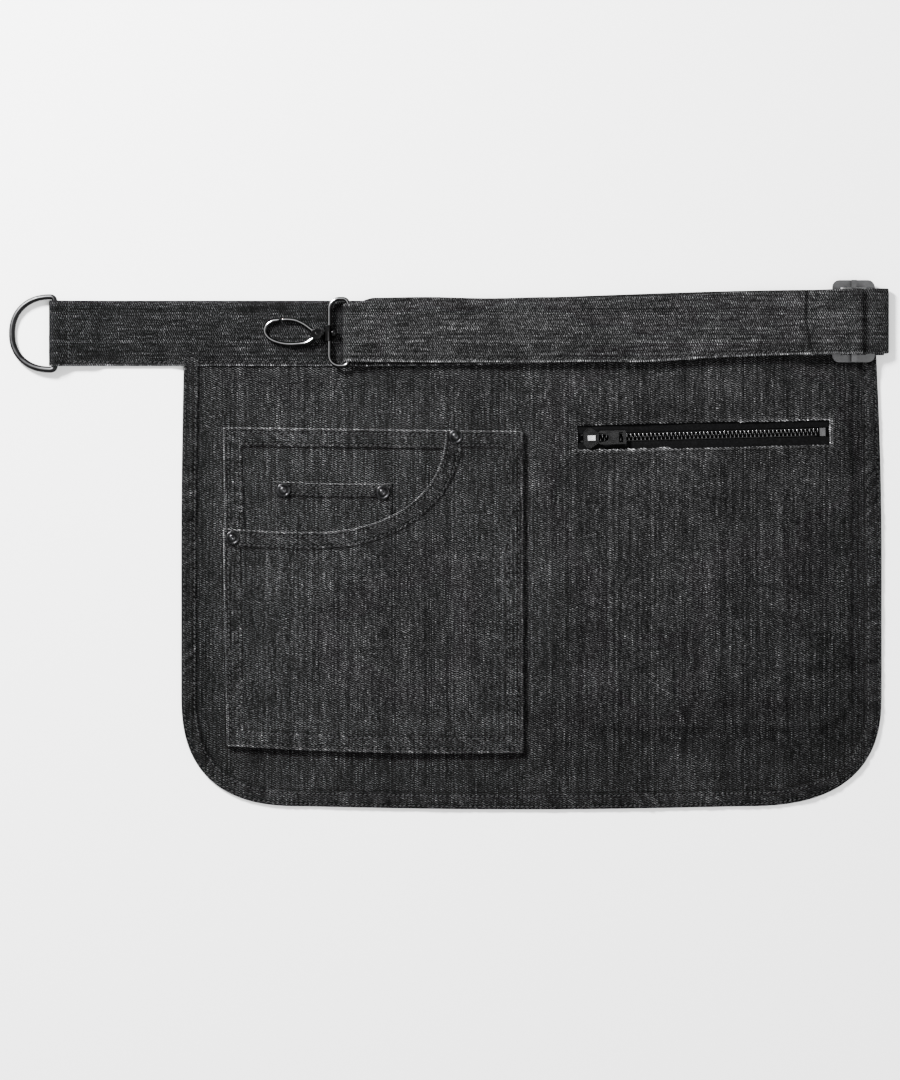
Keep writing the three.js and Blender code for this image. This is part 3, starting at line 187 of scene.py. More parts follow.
def spline(points: Array, steps: int) -> Array:
    """Catmull-Rom curve through points: each stretch is the cubic of its four nearest points.

    Args:
        points: (n, k) places that it goes through.
        steps: points for each stretch.

    Returns:
        Its points.
    """
    ends = np.vstack([2 * points[0] - points[1], points, 2 * points[-1] - points[-2]])
    t = np.linspace(0.0, 1.0, steps, endpoint=False)[:, None]
    a, b, c, d = (ends[k : len(ends) - 3 + k][:, None, :] for k in range(4))
    cubic = 2 * b + (c - a) * t + (2 * a - 5 * b + 4 * c - d) * t**2
    cubic = 0.5 * (cubic + (3 * b - a - 3 * c + d) * t**3)
    return np.vstack([cubic.reshape(-1, points.shape[1]), points[-1:]])


def quarter(run: float, rise: float, power: float, count: int) -> Array:
    """Superellipse quarter from (run, 0) to (0, rise): |x/run|^power + |y/rise|^power is 1.

    Args:
        run: where it starts, on the first axis.
        rise: where it ends, on the second.
        power: 2 for an ellipse, and more for a squarer corner.
        count: number of points.

    Returns:
        (count, 2) points.
    """
    turn = np.linspace(0.0, np.pi / 2, count)
    across, up = np.clip(np.cos(turn), 0, 1), np.clip(np.sin(turn), 0, 1)
    return np.stack([run * across ** (2 / power), rise * up ** (2 / power)], -1)


def sideways(path: Array) -> Array:
    """Unit normals to the left of a path in the plane, from the directions at its points."""
    along = np.gradient(path, axis=0)
    along /= np.linalg.norm(along, axis=1, keepdims=True)
    return np.stack([-along[:, 1], along[:, 0]], -1)


def grid_faces(rows: int, columns: int, ring: bool = False, start: int = 0) -> Array:
    """Quads between the neighbours of a grid whose vertices run along its rows.

    Args:
        rows: number of rows.
        columns: vertices in a row.
        ring: whether each row closes on itself.
        start: number of the grid's first vertex.

    Returns:
        (n, 4) vertex numbers.
    """
    row, column = np.meshgrid(
        np.arange(rows - 1), np.arange(columns if ring else columns - 1), indexing="ij"
    )
    after = (column + 1) % columns
    here, there = row * columns, (row + 1) * columns
    quads = np.stack([here + column, there + column, there + after, here + after], -1)
    return quads.reshape(-1, 4) + start


@dataclass
class Skin:
    """Vertices and faces of a closed surface, with a tone for each vertex.

    A tone is how light (above 0) or dark (below 0) the surface is made there: by wear and random
    differences of dye, and by painted highlights and painted shade.
    """

    points: Array
    faces: list[Array]
    tone: Array | None = None

    def outward(self) -> list[list[int]]:
        """Faces as lists, all turned round if the surface encloses less than nothing."""
        volume = 0.0
        for faces in self.faces:
            for k in range(1, faces.shape[1] - 1):
                a, b, c = (self.points[faces[:, i]] for i in (0, k, k + 1))
                volume += float((a * np.cross(b, c)).sum())
        turn = -1 if volume < 0 else 1
        return [face[::turn] for faces in self.faces for face in faces.tolist()]

    def piece(self, name: str, body: str, slot: str, finish: bpy.types.Material) -> bpy.types.Object:
        """The surface as an object that rides on a body.

        Args:
            name: the piece's name.
            body: CAD body that it moves with.
            slot: the record's material slot; not used.
            finish: its material.

        Returns:
            The object, at the origin of the row frame.
        """
        mesh = bpy.data.meshes.new(name)
        mesh.from_pydata(to_frame(self.points).tolist(), [], self.outward())
        mesh.polygons.foreach_set("use_smooth", np.ones(len(mesh.polygons), bool))
        tone = np.zeros(len(self.points)) if self.tone is None else self.tone
        layer = mesh.attributes.new("tone", "FLOAT", "POINT")
        layer.data.foreach_set("value", tone.astype(np.float32))
        mesh.validate()
        made = bpy.data.objects.new(name, mesh)
        bpy.context.scene.collection.objects.link(made)
        made.data.materials.append(finish)
        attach(made, body)
        LOG.info("%s rides on %s: %d faces", name, body, len(mesh.polygons))
        return made


def joined(skins: Sequence[Skin]) -> Skin:
    """Several surfaces as one, with each one's faces counted on from the last.

    Args:
        skins: the surfaces.

    Returns:
        One surface with all their parts.
    """
    start, faces, tones = 0, [], []
    for skin in skins:
        faces += [part + start for part in skin.faces]
        tones.append(np.zeros(len(skin.points)) if skin.tone is None else skin.tone)
        start += len(skin.points)
    return Skin(np.vstack([skin.points for skin in skins]), faces, np.concatenate(tones))


def lofted(rings: Array, closed: bool = False) -> Skin:
    """Skin over rings of points, capped with a fan at each end unless it closes on itself.

    Args:
        rings: (n, m, 3) points, m to a ring.
        closed: whether the last ring joins the first.

    Returns:
        The surface.
    """
    count, sides = rings.shape[:2]
    points = rings.reshape(-1, 3)
    if closed:
        faces = grid_faces(count + 1, sides, ring=True) % (count * sides)
        return Skin(points, [faces])
    faces = grid_faces(count, sides, ring=True)
    points = np.vstack([points, rings[0].mean(0), rings[-1].mean(0)])
    side = np.arange(sides)
    after = (side + 1) % sides
    last = (count - 1) * sides
    first_cap = np.stack([np.full(sides, count * sides), side, after], -1)
    last_cap = np.stack([np.full(sides, count * sides + 1), last + after, last + side], -1)
    return Skin(points, [faces, first_cap, last_cap])


def wire(path: Array, half: Array, thick: Array, sides: int = 20, closed: bool = False) -> Skin:
    """Elliptical rod along a path in the XY plane, with a painted highlight along a line on its upper
    side.

    Each ring is point + across * half * cos(turn) + up * thick * sin(turn). Its tone, a painted highlight,
    is
    1 where the ring comes nearest to facing the light's side, and 0 about a tenth of a turn from there.

    Args:
        path: (n, 3) centre line.
        half: half width in the plane at each point.
        thick: half thickness across the plane at each point.
        sides: points round the rod.
        closed: whether the path closes on itself.

    Returns:
        The surface.
    """
    before = np.roll(path, 1, 0) if closed else np.vstack([2 * path[0] - path[1], path[:-1]])
    after = np.roll(path, -1, 0) if closed else np.vstack([path[1:], 2 * path[-1] - path[-2]])
    along = (after - before)[:, :2]
    along /= np.linalg.norm(along, axis=1, keepdims=True)
    across = np.stack([-along[:, 1], along[:, 0], np.zeros(len(path))], -1)
    turn = np.linspace(0.0, 2 * np.pi, sides, endpoint=False)
    wide = (np.broadcast_to(half, len(path))[:, None] * np.cos(turn))[..., None]
    high = (np.broadcast_to(thick, len(path))[:, None] * np.sin(turn))[..., None]
    rings = path[:, None] + across[:, None] * wide + np.array([0.0, 0.0, 1.0]) * high
    # painted highlight: the tone marks the line of each ring that faces the light
    lean = np.arctan2(PAINTED_HIGHLIGHT_SIDE[2], across @ PAINTED_HIGHLIGHT_SIDE)
    tone = smooth(np.cos(turn - lean[:, None]), 0.955, 1.0).ravel()
    made = lofted(rings, closed)
    return Skin(made.points, made.faces, tone if closed else np.concatenate([tone, [0.0, 0.0]]))


def lathe(profile: Array, sides: int = 48) -> Skin:
    """Profile turned round the Z axis, closed at its two ends.

    Args:
        profile: rows of radius and height.
        sides: points round the axis.

    Returns:
        The surface.
    """
    turn = np.linspace(0.0, 2 * np.pi, sides, endpoint=False)
    radius, height = np.maximum(profile[:, 0], 1e-3)[:, None], profile[:, 1][:, None]
    rings = np.stack([radius * np.cos(turn), radius * np.sin(turn), height + 0 * turn], -1)
    return lofted(rings)


def bevelled(outline: Array, low: float, high: float, edge: float, steps: int = 4) -> Skin:
    """Plate over an outline, whose rim is rounded by moving the outline inwards as it rises.

    At a turn t from 0 to a quarter, the outline is in by edge * (1 - cos t) and the rim is
    edge * (1 - sin t) from the face.

    Args:
        outline: (n, 2) points, anticlockwise.
        low: height of the lower face.
        high: height of the upper face.
        edge: radius of the rim.
        steps: rings round the rim.

    Returns:
        The surface.
    """
    before, after = np.roll(outline, 1, 0), np.roll(outline, -1, 0)
    into = outline - before
    out = after - outline
    into /= np.linalg.norm(into, axis=1, keepdims=True)
    out /= np.linalg.norm(out, axis=1, keepdims=True)
    along = into + out
    along /= np.linalg.norm(along, axis=1, keepdims=True)
    reach = np.maximum((along * out).sum(1, keepdims=True), 0.5)
    inward = np.stack([-along[:, 1], along[:, 0]], -1) / reach
    turn = np.linspace(0.0, np.pi / 2, steps)
    shift = np.concatenate([edge * (1 - np.cos(turn[::-1])), edge * (1 - np.cos(turn))])
    level = np.concatenate([low + edge * (1 - np.sin(turn[::-1])), high - edge * (1 - np.sin(turn))])
    plan = outline[None] + inward[None] * shift[:, None, None]
    rise = np.broadcast_to(level[:, None, None], (*plan.shape[:2], 1))
    return lofted(np.concatenate([plan, rise], -1))


def tilted(skin: Skin, tilt: float, place: Array) -> Skin:
    """A surface turned about the Y axis, and then moved to its place.

    Args:
        skin: the surface.
        tilt: angle in radians.
        place: where the origin goes.

    Returns:
        The moved surface.
    """
    cos, sin = math.cos(tilt), math.sin(tilt)
    x, y, z = skin.points.T
    turned = np.stack([x * cos + z * sin, y, z * cos - x * sin], -1)
    return Skin(turned + place, skin.faces, skin.tone)


def turned_flat(skin: Skin, turn: float, place: Array) -> Skin:
    """A surface turned about the Z axis, and then moved to its place.

    Args:
        skin: the surface.
        turn: angle in radians.
        place: where the origin goes.

    Returns:
        The moved surface.
    """
    cos, sin = math.cos(turn), math.sin(turn)
    x, y, z = skin.points.T
    turned = np.stack([x * cos - y * sin, x * sin + y * cos, z], -1)
    return Skin(turned + place, skin.faces, skin.tone)


# Materials


class Weave(Enum):
    """Which way the threads that show run."""

    DOWN = "down the apron"
    ALONG = "along the belt"


class Board:
    """A node tree with short calls for adding and joining its nodes."""

    def __init__(self, tree: bpy.types.NodeTree) -> None:
        """Keeps the tree that nodes are added to."""
        self.tree = tree

    def add(self, kind: str, inputs: dict | None = None, **settings: object) -> bpy.types.Node:
        """A new node.

        Args:
            kind: its type.
            inputs: values or sockets by input name or number.
            settings: properties of the node.

        Returns:
            The node.
        """
        node = self.tree.nodes.new(kind)
        for key, value in settings.items():
            setattr(node, key, value)
        for key, value in (inputs or {}).items():
            if isinstance(value, bpy.types.NodeSocket):
                self.tree.links.new(value, node.inputs[key])
            else:
                node.inputs[key].default_value = value
        return node

    def math(self, operation: str, *values: object) -> bpy.types.NodeSocket:
        """Output of a Math node over values or sockets."""
        return self.add("ShaderNodeMath", dict(enumerate(values)), operation=operation).outputs[0]

    def vector(self, x: object, y: object, z: object = 0.0) -> bpy.types.NodeSocket:
        """A vector from three values or sockets."""
        return self.add("ShaderNodeCombineXYZ", {0: x, 1: y, 2: z}).outputs[0]

    def noise(
        self, place: bpy.types.NodeSocket, scale: float, detail: float = 1.0
    ) -> bpy.types.NodeSocket:
        """Noise about 0 with a spread of about 1.

        Args:
            place: where it is read.
            scale: how fine it is.
            detail: octaves of finer noise on it.

        Returns:
            Its value.
        """
        values = {"Vector": place, "Scale": scale, "Detail": detail, "Roughness": 0.55}
        raw = self.add("ShaderNodeTexNoise", values).outputs[0]
        return self.math("MULTIPLY", self.math("SUBTRACT", raw, 0.5), 8.0)

    def total(self, parts: Sequence[tuple[bpy.types.NodeSocket, float]]) -> bpy.types.NodeSocket:
        """Sum of sockets.

        Args:
            parts: each socket with its weight.

        Returns:
            The sum.
        """
        found = self.math("MULTIPLY", parts[0][0], parts[0][1])
        for socket, weight in parts[1:]:
            found = self.math("MULTIPLY_ADD", socket, weight, found)
        return found


def group(
    name: str, inputs: dict[str, float], outputs: Sequence[str]
) -> tuple[bpy.types.NodeTree, Board]:
    """An empty shader group with named value sockets.

    Args:
        name: the group's name.
        inputs: its inputs with their usual values.
        outputs: its outputs.

    Returns:
        The group and a board for its nodes.
    """
    tree = bpy.data.node_groups.new(name, "ShaderNodeTree")
    for label, value in inputs.items():
        socket = tree.interface.new_socket(label, in_out="INPUT", socket_type="NodeSocketFloat")
        socket.default_value = value
    for label in outputs:
        tree.interface.new_socket(label, in_out="OUTPUT", socket_type="NodeSocketFloat")
    return tree, Board(tree)


@dataclass(frozen=True)
class Twill:
    """Threads of twill: lengths in metres, and how much each effect counts."""

    thread: float = 0.68e-3
    repeat: float = 1.42e-3
    streak_length: float = 11e-3
    wobble_length: float = 6e-3
    vigour_length: float = 9e-3
    slub: tuple[float, float] = (2.2e-3, 38e-3)
    grain_scale: float = 900.0
    mottle_scale: float = 42.0
    wobble: float = 0.9
    vigour: float = 0.35
    least_dash: float = 0.1
    tone: tuple[float, ...] = (0.22, 2.3, 0.1, 0.88, 0.2, 1.25)
    height: tuple[float, ...] = (0.5, 0.35, 0.3)

    def group(self) -> bpy.types.NodeTree:
        """Tone and height from metres along and across the threads that show.

        Each thread has its own slow streaks. A dash of a float and a sunken crossing repeats along
        it, and the next thread's dashes lie a quarter of a repeat further on. Slubs, grain, slow
        mottling and a lasting difference between threads are added.

        Returns:
            The shader group. Its tone weighs streak, dash, slub, grain, mottle and lasting
            difference, and its height weighs dash, streak and grain.
        """
        inputs = {"Along": 0.0, "Across": 0.0, "Depth": 0.0, "Thread": self.thread, "Float": self.repeat}
        tree, board = group("twill_threads", inputs, ["Tone", "Height"])
        given = board.add("NodeGroupInput").outputs
        along, across, depth = given["Along"], given["Across"], given["Depth"]
        cell = board.math("FLOOR", board.math("DIVIDE", across, given["Thread"]))
        own = board.add("ShaderNodeTexWhiteNoise", {"W": cell}, noise_dimensions="1D").outputs[0]
        lane = board.math("MULTIPLY", own, 97.3)

        def slow(length: float, layer: float) -> bpy.types.NodeSocket:
            """Noise along a thread, its own for each thread."""
            return board.noise(board.vector(lane, board.math("DIVIDE", along, length), layer), 1.0)

        streak = slow(self.streak_length, 0.37)
        wobble = slow(self.wobble_length, 5.21)
        vigour = slow(self.vigour_length, 9.77)
        turn = board.math("MULTIPLY", board.math("DIVIDE", along, given["Float"]), 2 * math.pi)
        shift = board.math(
            "MULTIPLY_ADD", cell, math.pi / 2, board.math("MULTIPLY", wobble, self.wobble)
        )
        dash = board.math("SINE", board.math("ADD", turn, shift))
        strength = board.math("MULTIPLY_ADD", vigour, self.vigour, 1.0)
        dash = board.math("MULTIPLY", dash, board.math("MAXIMUM", strength, self.least_dash))
        wide = board.math("DIVIDE", across, self.slub[0])
        slub = board.noise(board.vector(wide, board.math("DIVIDE", along, self.slub[1]), 2.1), 1.0)
        place = board.vector(across, along, depth)
        grain = board.noise(place, self.grain_scale, 1.0)
        mottle = board.noise(place, self.mottle_scale, 2.0)
        lasting = board.math("SUBTRACT", own, 0.5)
        parts = (streak, dash, slub, grain, mottle, lasting)
        tone = board.total(list(zip(parts, self.tone)))
        height = board.total(list(zip((dash, streak, grain), self.height)))
        board.add("NodeGroupOutput", {"Tone": tone, "Height": height})
        return tree


@dataclass(frozen=True)
class Scuffs:
    """Fine scratches and slow tarnish of polished metal."""

    tarnish_scale: float = 260.0
    scratches: tuple[float, float, float] = (300.0, 4200.0, 900.0)

    def group(self) -> bpy.types.NodeTree:
        """The shader group: tarnish, which changes roughness and tone, and scratches' height."""
        tree, board = group("scuffed_metal", {"Scale": 1.0}, ["Tarnish", "Scratch"])
        scale = board.add("NodeGroupInput").outputs["Scale"]
        place = board.add("ShaderNodeTexCoord").outputs["Object"]
        values = {0: place, "Scale": scale}
        near = board.add("ShaderNodeVectorMath", values, operation="SCALE").outputs[0]
        tarnish = board.noise(near, self.tarnish_scale, 3.0)
        long = board.add("ShaderNodeMapping", {"Vector": near, "Scale": self.scratches})
        scratch = board.noise(long.outputs[0], 1.0, 2.0)
        board.add("NodeGroupOutput", {"Tarnish": tarnish, "Scratch": scratch})
        return tree


@dataclass(frozen=True)
class Groups:
    """Shader groups that several materials share."""

    threads: bpy.types.NodeTree
    scuffs: bpy.types.NodeTree


def shader(name: str) -> tuple[bpy.types.Material, Board, bpy.types.Node]:
    """A new material.

    Args:
        name: the material's name.

    Returns:
        The material, a board for its nodes and its Principled shader.
    """
    made = bpy.data.materials.new(name)
    made.use_nodes = True
    made.node_tree.nodes.clear()
    board = Board(made.node_tree)
    surface = board.add("ShaderNodeBsdfPrincipled")
    board.add("ShaderNodeOutputMaterial", {"Surface": surface.outputs[0]})
    return made, board, surface


@dataclass(frozen=True)
class Denim:
    """Washed twill whose tone runs as powers of two about its shade."""

    name: str
    weave: Weave
    shade: tuple[float, float, float] = (0.0044, 0.0044, 0.0045)
    contrast: float = 1.0
    thread: float = 0.68e-3
    floats: float = 2.1
    relief: float = 0.5
    depth: float = 0.12e-3
    roughness: float = 0.86
    gloss: float = 0.02

    def material(self, groups: Groups) -> bpy.types.Material:
        """The finish as a material that reads Object coordinates and the piece's tones."""
        made, board, surface = shader(self.name)
        place = board.add("ShaderNodeTexCoord").outputs["Object"]
        x, y, z = board.add("ShaderNodeSeparateXYZ", {0: place}).outputs
        along, across = (y, x) if self.weave is Weave.DOWN else (x, y)
        values = {"Along": along, "Across": across, "Depth": z, "Thread": self.thread}
        threads = board.add("ShaderNodeGroup", node_tree=groups.threads)
        for label, value in {**values, "Float": self.floats * self.thread}.items():
            if isinstance(value, bpy.types.NodeSocket):
                board.tree.links.new(value, threads.inputs[label])
            else:
                threads.inputs[label].default_value = value
        # the piece's tone: wear and random tone, with painted highlights and painted shade
        wear_and_painted_light = board.add("ShaderNodeAttribute", attribute_name="tone").outputs["Fac"]
        tone = board.math("MULTIPLY_ADD", threads.outputs["Tone"], self.contrast, wear_and_painted_light)
        gain = board.math("POWER", 2.0, tone)
        values = {0: self.shade, "Scale": gain}
        colour = board.add("ShaderNodeVectorMath", values, operation="SCALE").outputs[0]
        values = {"Strength": self.relief, "Distance": self.depth, "Height": threads.outputs["Height"]}
        bump = board.add("ShaderNodeBump", values).outputs[0]
        board.tree.links.new(colour, surface.inputs["Base Color"])
        board.tree.links.new(bump, surface.inputs["Normal"])
        surface.inputs["Roughness"].default_value = self.roughness
        surface.inputs["Specular IOR Level"].default_value = self.gloss
        return made


@dataclass(frozen=True)
class Metal:
    """Polished or satin metal with fine scratches and tarnish.

    It is brighter where the piece's tone marks a painted highlight line, and a painted highlight
    makes it brighter still above the height of the crest.
    """

    name: str
    shade: tuple[float, float, float]
    roughness: float
    tarnish: float = 0.05
    scale: float = 1.0
    relief: float = 0.1
    crest: float | None = None
    # painted highlights: the strength above the crest, and the strength of the tone's highlight line
    painted_top_highlight: float = 1.0
    painted_gleam: float = 0.0
    stain: float = 0.12
    depth: float = 0.03e-3
    limits: tuple[float, float] = (0.08, 0.9)

    def material(self, groups: Groups) -> bpy.types.Material:
        """The finish as a material that reads Object coordinates."""
        made, board, surface = shader(self.name)
        scuffs = board.add("ShaderNodeGroup", node_tree=groups.scuffs)
        scuffs.inputs["Scale"].default_value = self.scale
        rough = board.math("MULTIPLY_ADD", scuffs.outputs["Tarnish"], self.tarnish, self.roughness)
        smoothest, roughest = self.limits
        rough = board.math("MINIMUM", board.math("MAXIMUM", rough, smoothest), roughest)
        gain = board.math("MULTIPLY_ADD", scuffs.outputs["Tarnish"], self.stain, 1.0)
        # on metal the piece's tone is a painted highlight line
        wear_and_painted_light = board.add("ShaderNodeAttribute", attribute_name="tone").outputs["Fac"]
        # painted highlight line from the piece's tone
        gain = board.math("MULTIPLY_ADD", wear_and_painted_light, self.painted_gleam, gain)
        # painted highlight on the top of the piece, above the crest's height
        if self.crest is not None:
            place = board.add("ShaderNodeTexCoord").outputs["Object"]
            height = board.add("ShaderNodeSeparateXYZ", {0: place}).outputs[2]
            above = board.math("GREATER_THAN", height, self.crest)
            gain = board.math("MULTIPLY_ADD", above, self.painted_top_highlight, gain)
        values = {0: self.shade, "Scale": gain}
        colour = board.add("ShaderNodeVectorMath", values, operation="SCALE").outputs[0]
        values = {"Strength": self.relief, "Distance": self.depth, "Height": scuffs.outputs["Scratch"]}
        bump = board.add("ShaderNodeBump", values).outputs[0]
        board.tree.links.new(colour, surface.inputs["Base Color"])
        board.tree.links.new(rough, surface.inputs["Roughness"])
        board.tree.links.new(bump, surface.inputs["Normal"])
        surface.inputs["Metallic"].default_value = 1.0
        return made


@dataclass(frozen=True)
class Thread:
    """Sewing thread: dark, with fuzz and slow changes of shade."""

    name: str
    shade: tuple[float, float, float] = (0.008, 0.008, 0.0082)
    fuzz_scale: float = 2600.0
    slow_scale: float = 220.0
    weights: tuple[float, float] = (0.35, 0.45)
    roughness: float = 0.6
    gloss: float = 0.25

    def material(self) -> bpy.types.Material:
        """The finish as a material that reads Object coordinates."""
        made, board, surface = shader(self.name)
        place = board.add("ShaderNodeTexCoord").outputs["Object"]
        fine = board.noise(place, self.fuzz_scale, 1.0)
        slow = board.noise(place, self.slow_scale, 1.0)
        gain = board.math("POWER", 2.0, board.total(list(zip((fine, slow), self.weights))))
        values = {0: self.shade, "Scale": gain}
        colour = board.add("ShaderNodeVectorMath", values, operation="SCALE").outputs[0]
        bump = board.add("ShaderNodeBump", {"Strength": 0.4, "Distance": 0.1e-3, "Height": fine})
        board.tree.links.new(colour, surface.inputs["Base Color"])
        board.tree.links.new(bump.outputs[0], surface.inputs["Normal"])
        surface.inputs["Roughness"].default_value = self.roughness
        surface.inputs["Specular IOR Level"].default_value = self.gloss
        return made


@dataclass(frozen=True)
class Tape:
    """Woven zip tape: black, with a herringbone of fine ribs."""

    name: str
    shade: tuple[float, float, float] = (0.0012, 0.0012, 0.0013)
    rib: float = 0.75e-3
    fuzz_scale: float = 900.0
    weights: tuple[float, float] = (0.4, 0.5)
    heights: tuple[float, float] = (0.5, 0.2)
    roughness: float = 0.75
    gloss: float = 0.03

    def material(self) -> bpy.types.Material:
        """The finish as a material that reads Object coordinates."""
        made, board, surface = shader(self.name)
        place = board.add("ShaderNodeTexCoord").outputs["Object"]
        x, y, _ = board.add("ShaderNodeSeparateXYZ", {0: place}).outputs
        fold = board.math("PINGPONG", y, 2 * self.rib)
        turn = board.math("MULTIPLY", board.math("ADD", x, fold), 2 * math.pi / self.rib)
        rib = board.math("SINE", turn)
        fine = board.noise(place, self.fuzz_scale, 1.0)
        gain = board.math("POWER", 2.0, board.total(list(zip((rib, fine), self.weights))))
        values = {0: self.shade, "Scale": gain}
        colour = board.add("ShaderNodeVectorMath", values, operation="SCALE").outputs[0]
        height = board.total(list(zip((rib, fine), self.heights)))
        bump = board.add("ShaderNodeBump", {"Strength": 0.5, "Distance": 0.1e-3, "Height": height})
        board.tree.links.new(colour, surface.inputs["Base Color"])
        board.tree.links.new(bump.outputs[0], surface.inputs["Normal"])
        surface.inputs["Roughness"].default_value = self.roughness
        surface.inputs["Specular IOR Level"].default_value = self.gloss
        return made


@dataclass(frozen=True)
class Finishes:
    """Every material of the apron, by what it dresses."""

    denim: bpy.types.Material
    facing: bpy.types.Material
    belt: bpy.types.Material
    strap: bpy.types.Material
    pocketing: bpy.types.Material
    thread: bpy.types.Material
    tape: bpy.types.Material
    ring: bpy.types.Material
    hook: bpy.types.Material
    glide: bpy.types.Material
    zip: bpy.types.Material
    slider: bpy.types.Material
    rivet: bpy.types.Material


def all_finishes() -> Finishes:
    """Builds the shared groups and every material once."""
    groups = Groups(Twill().group(), Scuffs().group())
    return Finishes(
        denim=Denim("washed_denim", Weave.DOWN).material(groups),
        facing=Denim("facing_denim", Weave.DOWN, contrast=1.05).material(groups),
        belt=Denim("belt_denim", Weave.ALONG, (0.0031, 0.0031, 0.0032)).material(groups),
        strap=Denim("strap_denim", Weave.ALONG, (0.0055, 0.0055, 0.0056), 0.95).material(groups),
        pocketing=Denim("pocketing", Weave.DOWN, (0.005, 0.005, 0.0052), 0.4, 0.4e-3).material(groups),
        thread=Thread("sewing_thread").material(),
        tape=Tape("zip_tape").material(),
        # the ring, the hook and the zip brighten their painted highlight lines
        ring=Metal("dark_satin_ring", (0.011, 0.011, 0.0113), 0.42, painted_gleam=5.0).material(groups),
        hook=Metal("black_nickel", (0.013, 0.013, 0.0132), 0.18, 0.02, painted_gleam=26.0).material(groups),
        glide=Metal("satin_nickel", (0.05, 0.05, 0.051), 0.45, 0.04, 1.0, 0.25).material(groups),
        zip=Metal("dark_gunmetal", (0.015, 0.015, 0.0152), 0.24, 0.04, painted_gleam=16.0).material(groups),
        # painted highlight on the slider's top, above 7.9 mm
        slider=Metal(
            "polished_slider", (0.014, 0.014, 0.0142), 0.2, 0.04, crest=0.0079, painted_top_highlight=46.0
        ).material(groups),
        rivet=Metal("antique_gunmetal", (0.024, 0.024, 0.025), 0.26, 0.06).material(groups),
    )


# Cloth


@dataclass(frozen=True)
class Hem:
    """Folded edge of a piece of cloth, across from its outer edge inwards."""

    width: float
    thickness: float
    rows: tuple[float, ...]
    groove: float = 0.3
    bulge: float = 0.15
    step: float = 1.6
    band: float = 12.0
    ripple: float = 0.2
    wear: float = 1.1
    # painted highlight along the folded edge
    line: float = 1.7

    def distances(self) -> Array:
        """Places across the band, close together at its rows of stitches and its step."""
        base = np.linspace(self.thickness / 2, self.band, 9)
        near = [row + shift for row in self.rows for shift in (-0.9, -0.45, 0.0, 0.45, 0.9)]
        rise = [self.width + self.step * share for share in (0.0, 0.3, 0.6, 1.0)]
        every = np.array([*base, *near, *rise])
        inside = every[(every >= self.thickness / 2) & (every <= self.band)]
        return np.unique(inside.round(2))[::-1]

    def height(self, across: Array, fold: Array) -> Array:
        """Top of the cloth over its floor: a step down at the hem's width, grooves at its rows.

        Args:
            across: distance from the outer edge.
            fold: 1 where the edge is folded and 0 where it is a single ply.

        Returns:
            The height.
        """
        rise = (self.thickness - PLY) * (1.0 - smooth(across, self.width, self.width + self.step))
        groove = sum(hump(across, row, 0.55) for row in self.rows) * self.groove
        rows = (0.0, *self.rows)
        crown = sum(
            hump(across, (a + b) / 2, (b - a) / 2.2) for a, b in zip(rows, rows[1:]) if b - a > 2
        )
        return PLY + fold * (rise - groove + self.bulge * crown)

    def tone(self, across: Array, along: Array, seed: int) -> Array:
        """Tone of the band: painted shade at the stitch rows and at the foot of the hem's step, lighter in
        patches of wear on what stands proud, and a painted highlight along the folded edge.

        Args:
            across: distance from the outer edge.
            along: length along the edge.
            seed: picks where the patches are.

        Returns:
            The tone.
        """
        # painted shade in the grooves of the stitch rows, and at the foot of the step
        dark = sum(hump(across, row, 0.6) for row in self.rows) * 1.0
        shade = hump(across, self.width + 0.8 * self.step, 0.9) * 0.9
        swing = ripple(along + 0.7 * across, 9.0, seed) + 0.6 * ripple(along, 3.4, seed + 1)
        patch = np.maximum(swing, 0.0)
        proud = hump(across, self.width - 0.2, 0.7) + 0.8 * hump(across, 0.4, 0.8)
        body = 0.3 * swing * (1.0 - smooth(across, self.width, self.width + self.step))
        # painted highlight along the folded edge
        edge = self.line * hump(across, 0.2, 0.6)
        return self.wear * patch * proud * 0.6 + edge + body - dark - shade


@dataclass
class Side:
    """One side of a patch, as a line in the plane, with how much of a hem it has."""

    line: Array
    fold: float = 1.0


